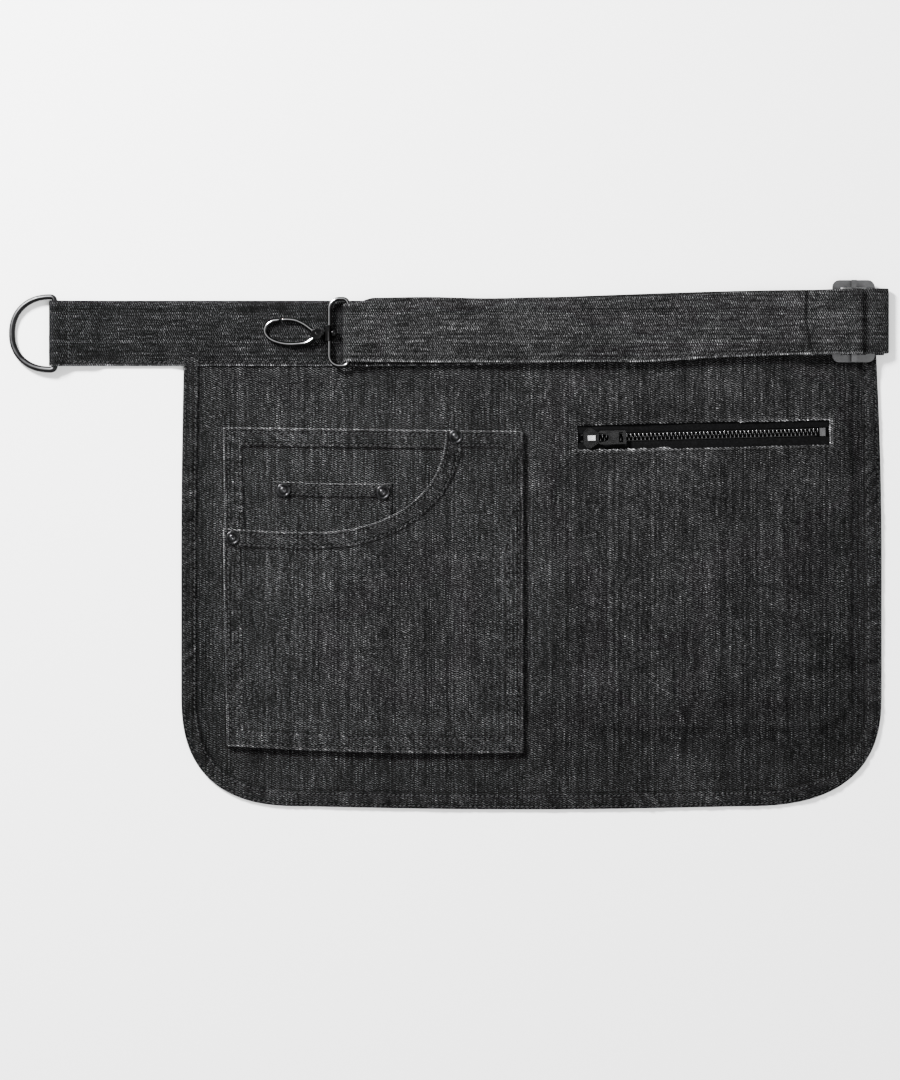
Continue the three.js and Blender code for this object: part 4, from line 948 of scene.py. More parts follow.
@dataclass
class Patch:
    """A flat piece of cloth: a Coons patch inside a hemmed band, over a floor.

    The patch's sides run anticlockwise round the cloth. Its inner point at (u, v) is
    (1-v) top(u) + v bottom(u) + (1-u) left(v) + u right(v), less the bilinear mix of the corners.
    """

    top: list[Side]
    right: list[Side]
    bottom: list[Side]
    left: list[Side]
    hem: Hem
    floor: Floor
    columns: int
    rows: int
    seed: int
    relief: float = 0.15
    slot: Array | None = None
    calm: Floor | None = None
    painted_falloff: Floor | None = None
    _outer: Array = field(init=False)
    _inner: Array = field(init=False)
    _fold: Array = field(init=False)

    def _inner_side(self, before: Array, line: Array, after: Array, count: int) -> tuple[Array, Array]:
        """A side and the same side moved in by the band, cut where its neighbours' lines meet it.

        Args:
            before: the side before it, round the cloth.
            line: the side.
            after: the side after it.
            count: number of steps along it.

        Returns:
            Its points, and the inner points that go with them.
        """
        outer = resample(line, count + 1)
        moved = line + sideways(line) * self.hem.band
        ends = (before[-1] - before[-2], line[1] - line[0], line[-1] - line[-2], after[1] - after[0])
        angle = [math.atan2(end[1], end[0]) for end in ends]
        first, last = (math.remainder(angle[k + 1] - angle[k], 2 * math.pi) for k in (0, 2))
        cut = [self.hem.band * math.tan(max(turn, 0.0) / 2) for turn in (first, last)]
        length = travelled(moved)[-1]
        return outer, resample(moved, count + 1, cut[0], length - cut[1])

    def _walk(self) -> None:
        """Works out the outer and inner edge point by point, anticlockwise from the top left."""
        groups = [(self.left, self.rows), (self.bottom, self.columns)]
        groups += [(self.right, self.rows), (self.top, self.columns)]
        sides = [side for part, _ in groups for side in part]
        counts = []
        for part, cells in groups:
            length = np.array([travelled(side.line)[-1] for side in part])
            share = np.round(np.cumsum(length) / length.sum() * cells).astype(int)
            counts += np.diff(np.concatenate([[0], share])).tolist()
        outer, inner, fold = [], [], []
        for k, side in enumerate(sides):
            before, after = sides[k - 1].line, sides[(k + 1) % len(sides)].line
            near, far = self._inner_side(before, side.line, after, counts[k])
            outer.append(near[:-1])
            inner.append(far[:-1])
            fold.append(np.full(counts[k], side.fold))
        self._outer, self._inner = np.vstack(outer), np.vstack(inner)
        self._fold = np.concatenate(fold)

    def _coons(self) -> Array:
        """Plan of the inner grid, (rows + 1, columns + 1, 2), top row first and left to right."""
        r, c = self.rows, self.columns
        ring = np.vstack([self._inner, self._inner[:1]])
        left, bottom = ring[: r + 1], ring[r : r + c + 1]
        right, top = ring[r + c : 2 * r + c + 1][::-1], ring[2 * r + c :][::-1]
        u = np.linspace(0, 1, c + 1)[None, :, None]
        v = np.linspace(0, 1, r + 1)[:, None, None]
        ruled = (1 - v) * top[None] + v * bottom[None] + (1 - u) * left[:, None] + u * right[:, None]
        corners = (1 - v) * ((1 - u) * top[0] + u * top[-1]) + v * ((1 - u) * bottom[0] + u * bottom[-1])
        return ruled - corners

    def _fit_slot(self, plan: Array) -> tuple[Array, tuple[int, int, int, int]]:
        """Moves grid lines onto the slot's edges, and eases the rest after them.

        The moves are 0 at the outer edge and fixed at the slot's, and elsewhere each is the mean of
        its four neighbours'.

        Args:
            plan: the grid.

        Returns:
            The moved grid, and the slot's first and last row and first and last column.
        """
        rows = [int(np.abs(plan[:, self.columns // 2, 1] - y).argmin()) for y in self.slot[(0, 2), 1]]
        level = plan[rows[0]]
        ends = [int(np.abs(level[:, 0] - x).argmin()) for x in self.slot[(0, 2), 0]]
        (top, bottom), (start, stop) = sorted(rows), sorted(ends)
        row = np.arange(top, bottom + 1)[:, None, None]
        column = np.arange(start, stop + 1)[None, :, None]
        v, u = (row - top) / (bottom - top), (column - start) / (stop - start)
        a, b, c, d = self.slot
        target = (1 - v) * ((1 - u) * a + u * b) + v * ((1 - u) * d + u * c)
        move = np.zeros_like(plan)
        held = np.s_[top : bottom + 1, start : stop + 1]
        for _ in range(400):
            move[1:-1, 1:-1] = 0.25 * (
                move[:-2, 1:-1] + move[2:, 1:-1] + move[1:-1, :-2] + move[1:-1, 2:]
            )
            move[held] = target - plan[held]
        return plan + move, (top, bottom, start, stop)

    def height(self, plan: Array) -> Array:
        """Top of the inner cloth over its floor: one ply with a gentle random relief."""
        slow = waves(plan, 46.0, self.seed) + 0.45 * waves(plan, 15.0, self.seed + 5)
        share = 1.0 if self.calm is None else self.calm(plan[..., 0], plan[..., 1])
        return PLY + self.relief * slow * share

    def skin(self) -> Skin:
        """The whole piece: inner grid above and below, the band round it, and the slot's rim."""
        self._walk()
        plan = self._coons()
        hole = None
        if self.slot is not None:
            plan, hole = self._fit_slot(plan)
        x, y = plan[..., 0], plan[..., 1]
        floor = self.floor(x, y)
        upper = np.concatenate([plan, (floor + self.height(plan))[..., None]], -1)
        lower = np.concatenate([plan, floor[..., None]], -1)
        r, c = self.rows, self.columns
        number = np.arange((r + 1) * (c + 1)).reshape(r + 1, c + 1)
        rim = np.concatenate([number[:-1, 0], number[-1, :-1], number[:0:-1, -1], number[0, :0:-1]])
        band, tones = self._band()
        keep = np.ones((r, c), bool)
        if hole:
            keep[hole[0] : hole[1], hole[2] : hole[3]] = False
        cells = grid_faces(r + 1, c + 1).reshape(r, c, 4)[keep]
        size = (r + 1) * (c + 1)
        start, count = 2 * size, len(rim)
        order = np.concatenate([rim, start + np.arange(band.shape[0] * count), size + rim])
        around = grid_faces(band.shape[0] + 2, count, ring=True)
        faces = [cells[:, ::-1], cells + size, order[around][:, ::-1]]
        points = [upper.reshape(-1, 3), lower.reshape(-1, 3), band.reshape(-1, 3)]
        plain = np.tile(np.zeros(size) if self.painted_falloff is None else self.painted_falloff(x, y).ravel(), 2)
        tone = [plain, tones.ravel()]
        if hole:
            edge = number[hole[0] : hole[1] + 1, hole[2] : hole[3] + 1]
            ring = np.concatenate([edge[:-1, 0], edge[-1, :-1], edge[:0:-1, -1], edge[0, :0:-1]])
            turn, shade = self._welt(upper.reshape(-1, 3)[ring], lower.reshape(-1, 3)[ring])
            # painted highlight of the slot's rim, spread onto the cloth next to it
            plain[ring] += 0.6 * shade.max(0)
            begin = start + band.shape[0] * count
            numbers = np.concatenate([ring, begin + np.arange(turn.shape[0] * len(ring)), size + ring])
            faces.append(numbers[grid_faces(turn.shape[0] + 2, len(ring), ring=True)])
            points.append(turn.reshape(-1, 3))
            tone.append(shade.ravel())
        return Skin(np.vstack(points), faces, np.concatenate(tone))

    def _band(self) -> tuple[Array, Array]:
        """Rings of the band from its inner edge over the fold and back under.

        Returns:
            The rings (k, n, 3) and their tones (k, n).
        """
        across = self.hem.distances()[1:]
        fold = self._fold[None]
        along = travelled(self._outer)[None]
        share = (across / self.hem.band)[:, None, None]
        plan = self._outer[None] * (1 - share) + self._inner[None] * share
        floor = self.floor(plan[..., 0], plan[..., 1])
        flat = 1.0 - smooth(across, self.hem.width * 0.8, self.hem.band)[:, None]
        wave = ripple(along + 0.9 * across[:, None], 6.5, self.seed + 11)
        wave = wave + 0.5 * ripple(along - 0.6 * across[:, None], 3.1, self.seed + 12)
        merge = smooth(across, self.hem.width, self.hem.band)[:, None]
        body = self.height(plan) - PLY
        top = floor + self.hem.height(across[:, None], fold) + merge * body
        top = top + self.hem.ripple * wave * flat * fold
        tone = self.hem.tone(across[:, None], along, self.seed + 20) * fold
        if self.painted_falloff is not None:
            tone = tone + self.painted_falloff(plan[..., 0], plan[..., 1])
        half = 0.5 * (PLY + (self.hem.thickness - PLY) * fold)
        turn = np.linspace(np.pi / 2, -np.pi / 2, 9)[1:-1, None]
        out = half * (1 - np.cos(turn)) / self.hem.band
        round_plan = self._outer[None] * (1 - out[..., None]) + self._inner[None] * out[..., None]
        base = self.floor(self._outer[:, 0], self._outer[:, 1])[None]
        lift = self.hem.ripple * ripple(along, 6.5, self.seed + 11) * fold * (1 + np.sin(turn)) / 2
        rise = base + half * (1 + np.sin(turn)) + 0.7 * lift
        under_plan = plan[::-1]
        under = self.floor(under_plan[..., 0], under_plan[..., 1])
        rings = [
            np.concatenate([plan, top[..., None]], -1),
            np.concatenate([round_plan, rise[..., None]], -1),
            np.concatenate([under_plan, under[..., None]], -1),
        ]
        # painted highlight on the rounded rim
        edge = np.repeat(self.hem.line * fold, len(turn), 0)
        return np.vstack(rings), np.vstack([tone, edge, 0.0 * tone])

    def _welt(self, upper: Array, lower: Array) -> tuple[Array, Array]:
        """Rounded edge of the slot, from its upper edge inwards and down to its lower edge.

        Args:
            upper: points of the slot's edge on the upper grid.
            lower: the same on the lower grid.

        Returns:
            The rings (k, n, 3) and their tones (k, n): a painted highlight on the rim where it faces the
            light.
        """
        middle = upper[:, :2].mean(0)
        toward = np.sign(middle - upper[:, :2])
        along = travelled(upper)
        turn = np.linspace(np.pi / 2, -np.pi / 2, 9)[1:-1, None]
        frill = 0.25 * ripple(along, 2.2, self.seed + 30)
        reach = (0.8 + frill)[None] * np.cos(turn)
        near = np.abs(upper[:, :2] - middle)
        limit = near.max(0)
        on_edge = np.stack([near[:, 0] > limit[0] - 1.0, near[:, 1] > limit[1] - 1.6], -1)
        plan = upper[None, :, :2] + reach[..., None] * (toward * on_edge)[None]
        mid, half = (upper[:, 2] + lower[:, 2]) / 2, (upper[:, 2] - lower[:, 2]) / 2
        rise = mid + half * np.sin(turn) + 0.12 * np.cos(turn) * ripple(along, 3.0, self.seed + 31)
        # painted highlight, strongest where the rim faces up and towards the light
        light = 2.6 * np.maximum(0.85 + 0.4 * ripple(along, 3.0, self.seed + 32), 0.0)
        light = light * np.maximum(np.cos(turn - 0.7), 0.0)
        return np.concatenate([plan, rise[..., None]], -1), light

    def row_path(self, distance: float, sides: Sequence[int]) -> list[Array]:
        """Paths of a row of stitches at a distance from the outer edge.

        Args:
            distance: from the outer edge.
            sides: numbers of the groups of sides, from 0 at the left, anticlockwise.

        Returns:
            One (n, 3) path for each run of sides that follow each other.
        """
        r, c = self.rows, self.columns
        stops = np.cumsum([0, r, c, r, c])
        share = distance / self.hem.band
        plan = self._outer * (1 - share) + self._inner * share
        top = self.floor(plan[:, 0], plan[:, 1]) + self.hem.height(distance, 1.0)
        ring = np.concatenate([plan, top[:, None]], -1)
        ring = np.vstack([ring, ring[:1]])
        return [ring[stops[side] : stops[side + 1] + 1] for side in sides]


@dataclass(frozen=True)
class Stitching:
    """A row of lockstitches: short threads that rise out of the cloth and sink back into it."""

    pitch: float = 3.0
    length: float = 2.2
    radius: float = 0.36
    slant: float = 0.3
    rings: int = 5
    sides: int = 5
    spread: float = 0.12
    height: float = 0.5
    sunk: float = 0.22

    def skin(self, path: Array, seed: int = 0) -> Skin:
        """Stitches along a path.

        A point of one is centre + t*along + r(t)*(across*cos + up*sin), where the centre line rises
        as a half sine and r(t) narrows towards both ends.

        Args:
            path: (n, 3) line on the cloth.
            seed: picks their small differences.

        Returns:
            The surface of them all.
        """
        length = travelled(path)[-1]
        count = max(int(length / self.pitch), 1)
        line = resample(path, 2 * count + 1)
        centre, along = line[1::2], line[2::2] - line[:-2:2]
        along /= np.linalg.norm(along, axis=1, keepdims=True)
        random = np.random.default_rng(seed)
        up = np.array([0.0, 0.0, 1.0])
        across = np.cross(up, along)
        lean = self.slant + self.spread * random.standard_normal(count)[:, None]
        along = along + lean * across
        across = np.cross(up, along)
        size = 1.0 + self.spread * random.standard_normal(count)
        share = np.linspace(-1.0, 1.0, self.rings)
        thick = self.radius * np.sqrt(np.maximum(1.0 - share**4, 0.06))
        rise = self.height * np.cos(share * np.pi / 2) - self.sunk
        turn = np.linspace(0, 2 * np.pi, self.sides, endpoint=False)
        middle = centre[:, None] + along[:, None] * (share * self.length / 2)[:, None]
        middle = middle + up * (rise * size[:, None])[..., None]
        wide = (thick[:, None] * np.cos(turn))[None, ..., None] * across[:, None, None]
        high = (thick[:, None] * np.sin(turn))[None, ..., None] * up
        points = middle[:, :, None] + wide + high
        one = lofted(points[0])
        ends = np.stack([points[:, 0].mean(1), points[:, -1].mean(1)], 1)
        block = np.concatenate([points.reshape(count, -1, 3), ends], 1)
        shift = (np.arange(count) * block.shape[1])[:, None, None]
        faces = [(part[None] + shift).reshape(-1, part.shape[1]) for part in one.faces]
        return Skin(block.reshape(-1, 3), faces)


def sewn(
    name: str, paths: Sequence[Array], thread: bpy.types.Material, kind: Stitching = Stitching()
) -> None:
    """Stitches along several paths, as one piece that rides on the apron.

    Args:
        name: the piece's name.
        paths: (n, 3) lines, one for each row.
        thread: the thread's material.
        kind: the stitches' sizes.
    """
    skins = [kind.skin(path, seed) for seed, path in enumerate(paths)]
    joined(skins).piece(name, "apron", "denim", thread)
    LOG.info("%s: %d rows", name, len(paths))


def ramp(value: Array, start: float, run: float) -> Array:
    """Eased step.

    Args:
        value: where it is read.
        start: up to here it is 0.
        run: from this far past the start it is 1.

    Returns:
        Shares from 0 to 1.
    """
    return smooth(value, start, start + run)


def zone(value: Array, low: float, high: float, run: float) -> Array:
    """Eased plateau.

    Args:
        value: where it is read.
        low: from here it is 1.
        high: up to here it is 1.
        run: this far outside them it is 0.

    Returns:
        Shares from 0 to 1.
    """
    return np.minimum(ramp(value, low - run, run), ramp(-value, -high - run, run))


def waist_rise(x: Array) -> Array:
    """How far the waistband has bowed up at x."""
    return 7.0 * smooth(x, -97.0, 191.0)


def strap_middle(x: Array) -> Array:
    """Middle line of the strap at x."""
    return 23.0 + 5.7 * smooth(x, 31.0, 210.0)


@dataclass(frozen=True)
class ZipPlace:
    """Where the middle of the zip's opening is, and how the opening is turned there."""

    x: float = 110.4
    y: float = -44.2
    turn: float = math.radians(1.53)
    length: float = 162.6
    width: float = 16.3

    def move(self, skin: Skin) -> Skin:
        """A surface made about the opening's middle, at its place."""
        return turned_flat(skin, self.turn, np.array([self.x, self.y, 0.0]))

    def corners(self, grow: float = 0.0) -> Array:
        """Corners of the opening in the plane, grown outwards, clockwise from the upper left."""
        long, wide = self.length / 2 + grow, self.width / 2 + grow
        flat = np.array([[-long, wide], [long, wide], [long, -wide], [-long, -wide]])
        cos, sin = math.cos(self.turn), math.sin(self.turn)
        turned = np.stack([flat[:, 0] * cos - flat[:, 1] * sin, flat[:, 0] * sin + flat[:, 1] * cos], -1)
        return turned + (self.x, self.y)


@dataclass
class Panel:
    """The apron's front: a hemmed sheet with two round corners, over the zip pocket's bag."""

    finishes: Finishes
    zip: ZipPlace
    drop: float = 284.0
    bow: float = 2.0
    corner_rise: float = 73.0
    corner_power: float = 2.6
    corner_runs: tuple[float, float] = (79.0, 90.0)
    flares: tuple[float, float] = (1.6, 3.6)
    flare_depth: float = 125.0
    tongue: float = 14.0
    bow_fade: tuple[float, float] = (22.1, 88.4)
    bag_rise: tuple[float, float] = (17.0, 8.0)
    bag_step: tuple[float, float] = (0.4, 0.6)
    zip_lift: float = 1.4
    frame_gap: float = 1.4

    def floor(self, x: Array, y: Array) -> Array:
        """Height of the cloth's underside: up over the bag, the zip and into the waistband.

        The bag's edge shows as a step of a few millimetres in a slower rise.
        """
        share = np.clip(1 + (y + self.bow_fade[0]) / self.bow_fade[1], 0, 1)
        y = y - waist_rise(x) * share
        left, right, low, _ = BAG_BOX
        tongue = TONGUE_Z * ramp(y, -21.0, 18.0)
        left_run, right_run = self.bag_rise
        slow = np.minimum(ramp(x, left - left_run, left_run), ramp(-x, -right - right_run, right_run))
        slow = slow * np.minimum(ramp(y, low - 18, 18), ramp(-y, 3.0, 18.0))
        corner_x = np.maximum(np.maximum(left + BAG_CORNER - x, x - right + BAG_CORNER), 0.0)
        corner_y = np.maximum(low + BAG_CORNER - y, 0.0)
        inside = BAG_CORNER - np.hypot(corner_x, corner_y) + 0.8 * np.sin(y / 21.0)
        steep = smooth(inside, -3.5, 1.5) * ramp(-y, 3.0, 18.0)
        along = zone(x, 24.8, 196.0, 10.0)
        lift = self.zip_lift * along * zone(y, -61.2, -27.2, 10.0)
        gentle, sharp = self.bag_step
        return np.maximum(tongue, BAG_LEVEL * (gentle * slow + sharp * steep)) + lift

    def sides(self) -> tuple[list[Side], list[Side], list[Side], list[Side]]:
        """Sides as top, right, bottom and left; a rounded corner is shared by two of them."""
        depth = np.linspace(0.0, self.drop - self.bow - self.corner_rise, 60)
        left_gone = 1 - np.clip(depth / self.flare_depth, 0, 1)
        left_x = -(PANEL_HALF - self.flares[0] * left_gone**2)
        right_x = PANEL_HALF - self.flares[1] * left_gone**2
        rise = waist_rise(np.array(RIGHT_EDGE)) * (1 - depth / self.flare_depth) - depth
        rise = np.where(depth > self.flare_depth, -depth, rise)
        start = self.corner_rise - (self.drop - self.bow)
        turn = [quarter(run, self.corner_rise, self.corner_power, 60) for run in self.corner_runs]
        left = np.stack([-PANEL_HALF + self.corner_runs[0] - turn[0][:, 0], start - turn[0][:, 1]], -1)
        right = np.stack([PANEL_HALF - self.corner_runs[1] + turn[1][:, 0], start - turn[1][:, 1]], -1)
        across = np.linspace(left[-1, 0], right[-1, 0], 60)[1:-1]
        bow = self.bow * np.sin(np.linspace(0, np.pi, 60)[1:-1])
        bottom = np.stack([across, self.bow - self.drop - bow], -1)
        left_side = np.vstack([[left_x[0], self.tongue], np.stack([left_x, -depth], -1), left[1:30]])
        base = np.vstack([left[29:], bottom, right[::-1][:31]])
        top_y = self.tongue + waist_rise(np.array(RIGHT_EDGE))
        right_side = np.stack([right_x, rise], -1)[::-1]
        right_side = np.vstack([right[::-1][30:], right_side[1:], [right_x[0], top_y]])
        x = np.linspace(right_x[0], left_x[0], 90)
        top = np.stack([x, self.tongue + waist_rise(x)], -1)
        wobble = [rounded(line, 260, 2.0) for line in (left_side, base, right_side)]
        return [Side(top, 0.0)], [Side(wobble[2])], [Side(wobble[1])], [Side(wobble[0])]

    def build(self) -> bpy.types.Object:
        """The panel with its stitches."""
        top, right, bottom, left = self.sides()
        hem = Hem(width=9.0, thickness=2.4, rows=(1.8, 8.4), ripple=0.34, groove=0.4, line=0.4)
        under = POCKET_CORNER

        def calm(x: Array, y: Array) -> Array:
            """0 under the pocket and in the waistband, 1 on the open cloth."""
            pocket = zone(x, under[0] - 1, under[0] + 194, 7) * zone(y, under[1] - 213, under[1] + 1, 7)
            return (1 - pocket) * ramp(-y, -6.0, 16.0)

        def painted_falloff(x: Array, y: Array) -> Array:
            """Painted shade of the light's fall-off: darker towards the sides and the bottom, with a slow
            random tone.
            """
            place = np.stack([x, y], -1)
            sides = 0.3 * smooth(x, 60.0, 220.0) + 0.3 * smooth(-x, 150.0, 215.0)
            return 0.1 * waves(place, 70.0, 8) - sides - 0.35 * smooth(-y, 90.0, 260.0)

        patch = Patch(
            top, right, bottom, left, hem, self.floor, 210, 132, 3, 0.2, self.zip.corners(), calm, painted_falloff
        )
        panel = patch.skin().piece("denim_panel", "apron", "denim", self.finishes.denim)
        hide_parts("apron_body")
        rows = [path for row in hem.rows for path in patch.row_path(row, (0, 1, 2))]
        rows = [path[path[:, 1] < waist_rise(path[:, 0]) + 1] for path in rows]
        sewn("panel_stitches", rows, self.finishes.thread)
        frame_line = self.zip.corners(self.frame_gap)
        around = np.vstack([frame_line, frame_line[:1]])
        lines = [resample(around[k : k + 2], 60) for k in range(4)]
        levels = [self.floor(line[:, 0], line[:, 1]) + PLY for line in lines]
        framed = [np.concatenate([line, level[:, None]], -1) for line, level in zip(lines, levels)]
        sewn("zip_frame_stitches", framed, self.finishes.thread, Stitching(2.6, 2.0, 0.26))
        return panel


@dataclass
class PatchPocket:
    """The patch pocket: its facing, its front with the curved opening, and the coin pocket."""

    finishes: Finishes
    width: float = 192.4
    height: float = 204.4
    top_fall: float = 2.6
    bottom_fall: float = 4.3
    tuck: float = 2.5
    sag: float = 2.0
    coin: tuple[float, float, float, float] = (32.8, 108.3, -34.5, -111.5)
    coin_fall: float = 1.4

    def outline(self) -> tuple[Array, Array, Array, Array]:
        """Corner points of the left side, the bottom, the right side and the top, from its corner."""
        share = np.linspace(0.0, 1.0, 40)
        low = -self.height - self.bottom_fall * share - self.sag * np.sin(np.pi * share)
        bottom = np.stack([self.tuck + (self.width - self.tuck) * share, low], -1)
        left = resample(np.array([[0.0, 0.0], bottom[0]]), 40)
        left[:, 0] += 0.7 * np.sin(np.linspace(0, np.pi, 40)) ** 2
        right = resample(np.array([bottom[-1], [self.width, -self.top_fall]]), 40)
        top = resample(np.array([[self.width, -self.top_fall], [0.0, 0.0]]), 40)
        return tuple(line + POCKET_CORNER for line in (left, bottom, right, top))

    def scoop(self) -> Array:
        """The curved opening, from the left side to the top edge, from the pocket's corner."""
        share = np.linspace(0.0, 1.0, 30)[:-1]
        flat = np.stack([55.8 * share, -67.2 + 2.4 * (1 - share) ** 2], -1)
        curve = quarter(87.0, 67.2, 2.25, 90)[::-1]
        line = np.vstack([flat, np.stack([55.8 + curve[:, 0], -curve[:, 1]], -1)])
        line[-1, 1] = -self.top_fall * 142.8 / self.width
        return rounded(line, 160, 5.0)

    def front_floor(self, x: Array, y: Array) -> Array:
        """Underside of the front ply: over the facing's hem at its edges, and over the coin pocket."""
        x, y = x - POCKET_CORNER[0], y - POCKET_CORNER[1]
        side = np.maximum(ramp(-x, -19.7, 6.0), ramp(x, 175.2, 6.0))
        ends = np.maximum(ramp(-y, 187.2, 6.0), ramp(y, -20.9, 6.0))
        left, right, _, low = self.coin
        coin = zone(x, left - 0.3, right + 0.3, 13.0) * ramp(y, low - self.coin_fall - 16, 16.0)
        return FACED_Z + np.maximum(np.maximum(side, ends), (PLY + GAP) * coin)

    def build(self) -> list[bpy.types.Object]:
        """The three sheets with their stitches."""
        left, bottom, right, top = self.outline()
        thread = self.finishes.thread
        hem = Hem(width=11.3, thickness=2.0, rows=(2.9, 10.2), ripple=0.26, band=14.0, groove=0.4)
        flat = Patch(
            [Side(top)], [Side(right)], [Side(bottom)], [Side(left)], hem,
            lambda x, y: TONGUE_Z + 0 * x, 90, 96, 21, 0.05,
        )
        back = flat.skin().piece("pocket_facing", "apron", "denim", self.finishes.facing)
        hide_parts("pocket_back")
        rows = [path for row in hem.rows for path in flat.row_path(row, (0, 3))]
        scoop = self.scoop() + POCKET_CORNER
        level = [np.interp(path[:, 0], scoop[:, 0], scoop[:, 1]) for path in rows]
        shown = [path[path[:, 1] > line - 4] for path, line in zip(rows, level)]
        shown = [path for path in shown if len(path) > 4]
        sewn("facing_stitches", shown, thread)

        front_left = resample(np.array([scoop[0], left[-1]]), 40)
        end = scoop[-1]
        front_top = resample(np.array([[*right[-1]], end]), 20)
        hem = Hem(width=10.2, thickness=1.5, rows=(2.8, 9.4), ripple=0.24, wear=1.25, groove=0.4)
        shape = Patch(
            [Side(front_top), Side(scoop[::-1])], [Side(right)], [Side(bottom)], [Side(front_left)],
            hem, self.front_floor, 120, 96, 31, 0.1,
        )
        front = shape.skin().piece("pocket_front_cloth", "apron", "denim", self.finishes.denim)
        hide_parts("pocket_front")
        rows = [path for row in hem.rows for path in shape.row_path(row, (0, 1, 2, 3))]
        sewn("pocket_stitches", rows, thread)
        return [back, front, self.build_coin()]

    def build_coin(self) -> bpy.types.Object:
        """The small pocket inside the opening, hemmed along its top."""
        x, y = POCKET_CORNER
        left, right, high, low = self.coin
        a, b = np.array([x + left, y + high]), np.array([x + right, y + high - self.coin_fall])
        c, d = np.array([x + right, y + low - self.coin_fall]), np.array([x + left, y + low])
        lines = [resample(np.array(ends), 40) for ends in ((b, a), (c, b), (d, c), (a, d))]
        lines[0][:, 1] -= 0.9 * np.sin(np.linspace(0, np.pi, 40))
        hem = Hem(width=8.0, thickness=1.8, rows=(1.9, 7.4), ripple=0.2, wear=1.2, groove=0.4)
        patch = Patch(
            [Side(lines[0])], [Side(lines[1], 0.3)], [Side(lines[2], 0.0)], [Side(lines[3], 0.3)],
            hem, lambda x, y: FACED_Z + 0 * x, 50, 50, 41, 0.04,
        )
        coin = patch.skin().piece("coin_pocket_cloth", "apron", "denim", self.finishes.denim)
        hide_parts("coin_pocket")
        rows = [path for row in hem.rows for path in patch.row_path(row, (3,))]
        rows += patch.row_path(1.6, (0, 2))
        sewn("coin_stitches", rows, self.finishes.thread)
        return coin


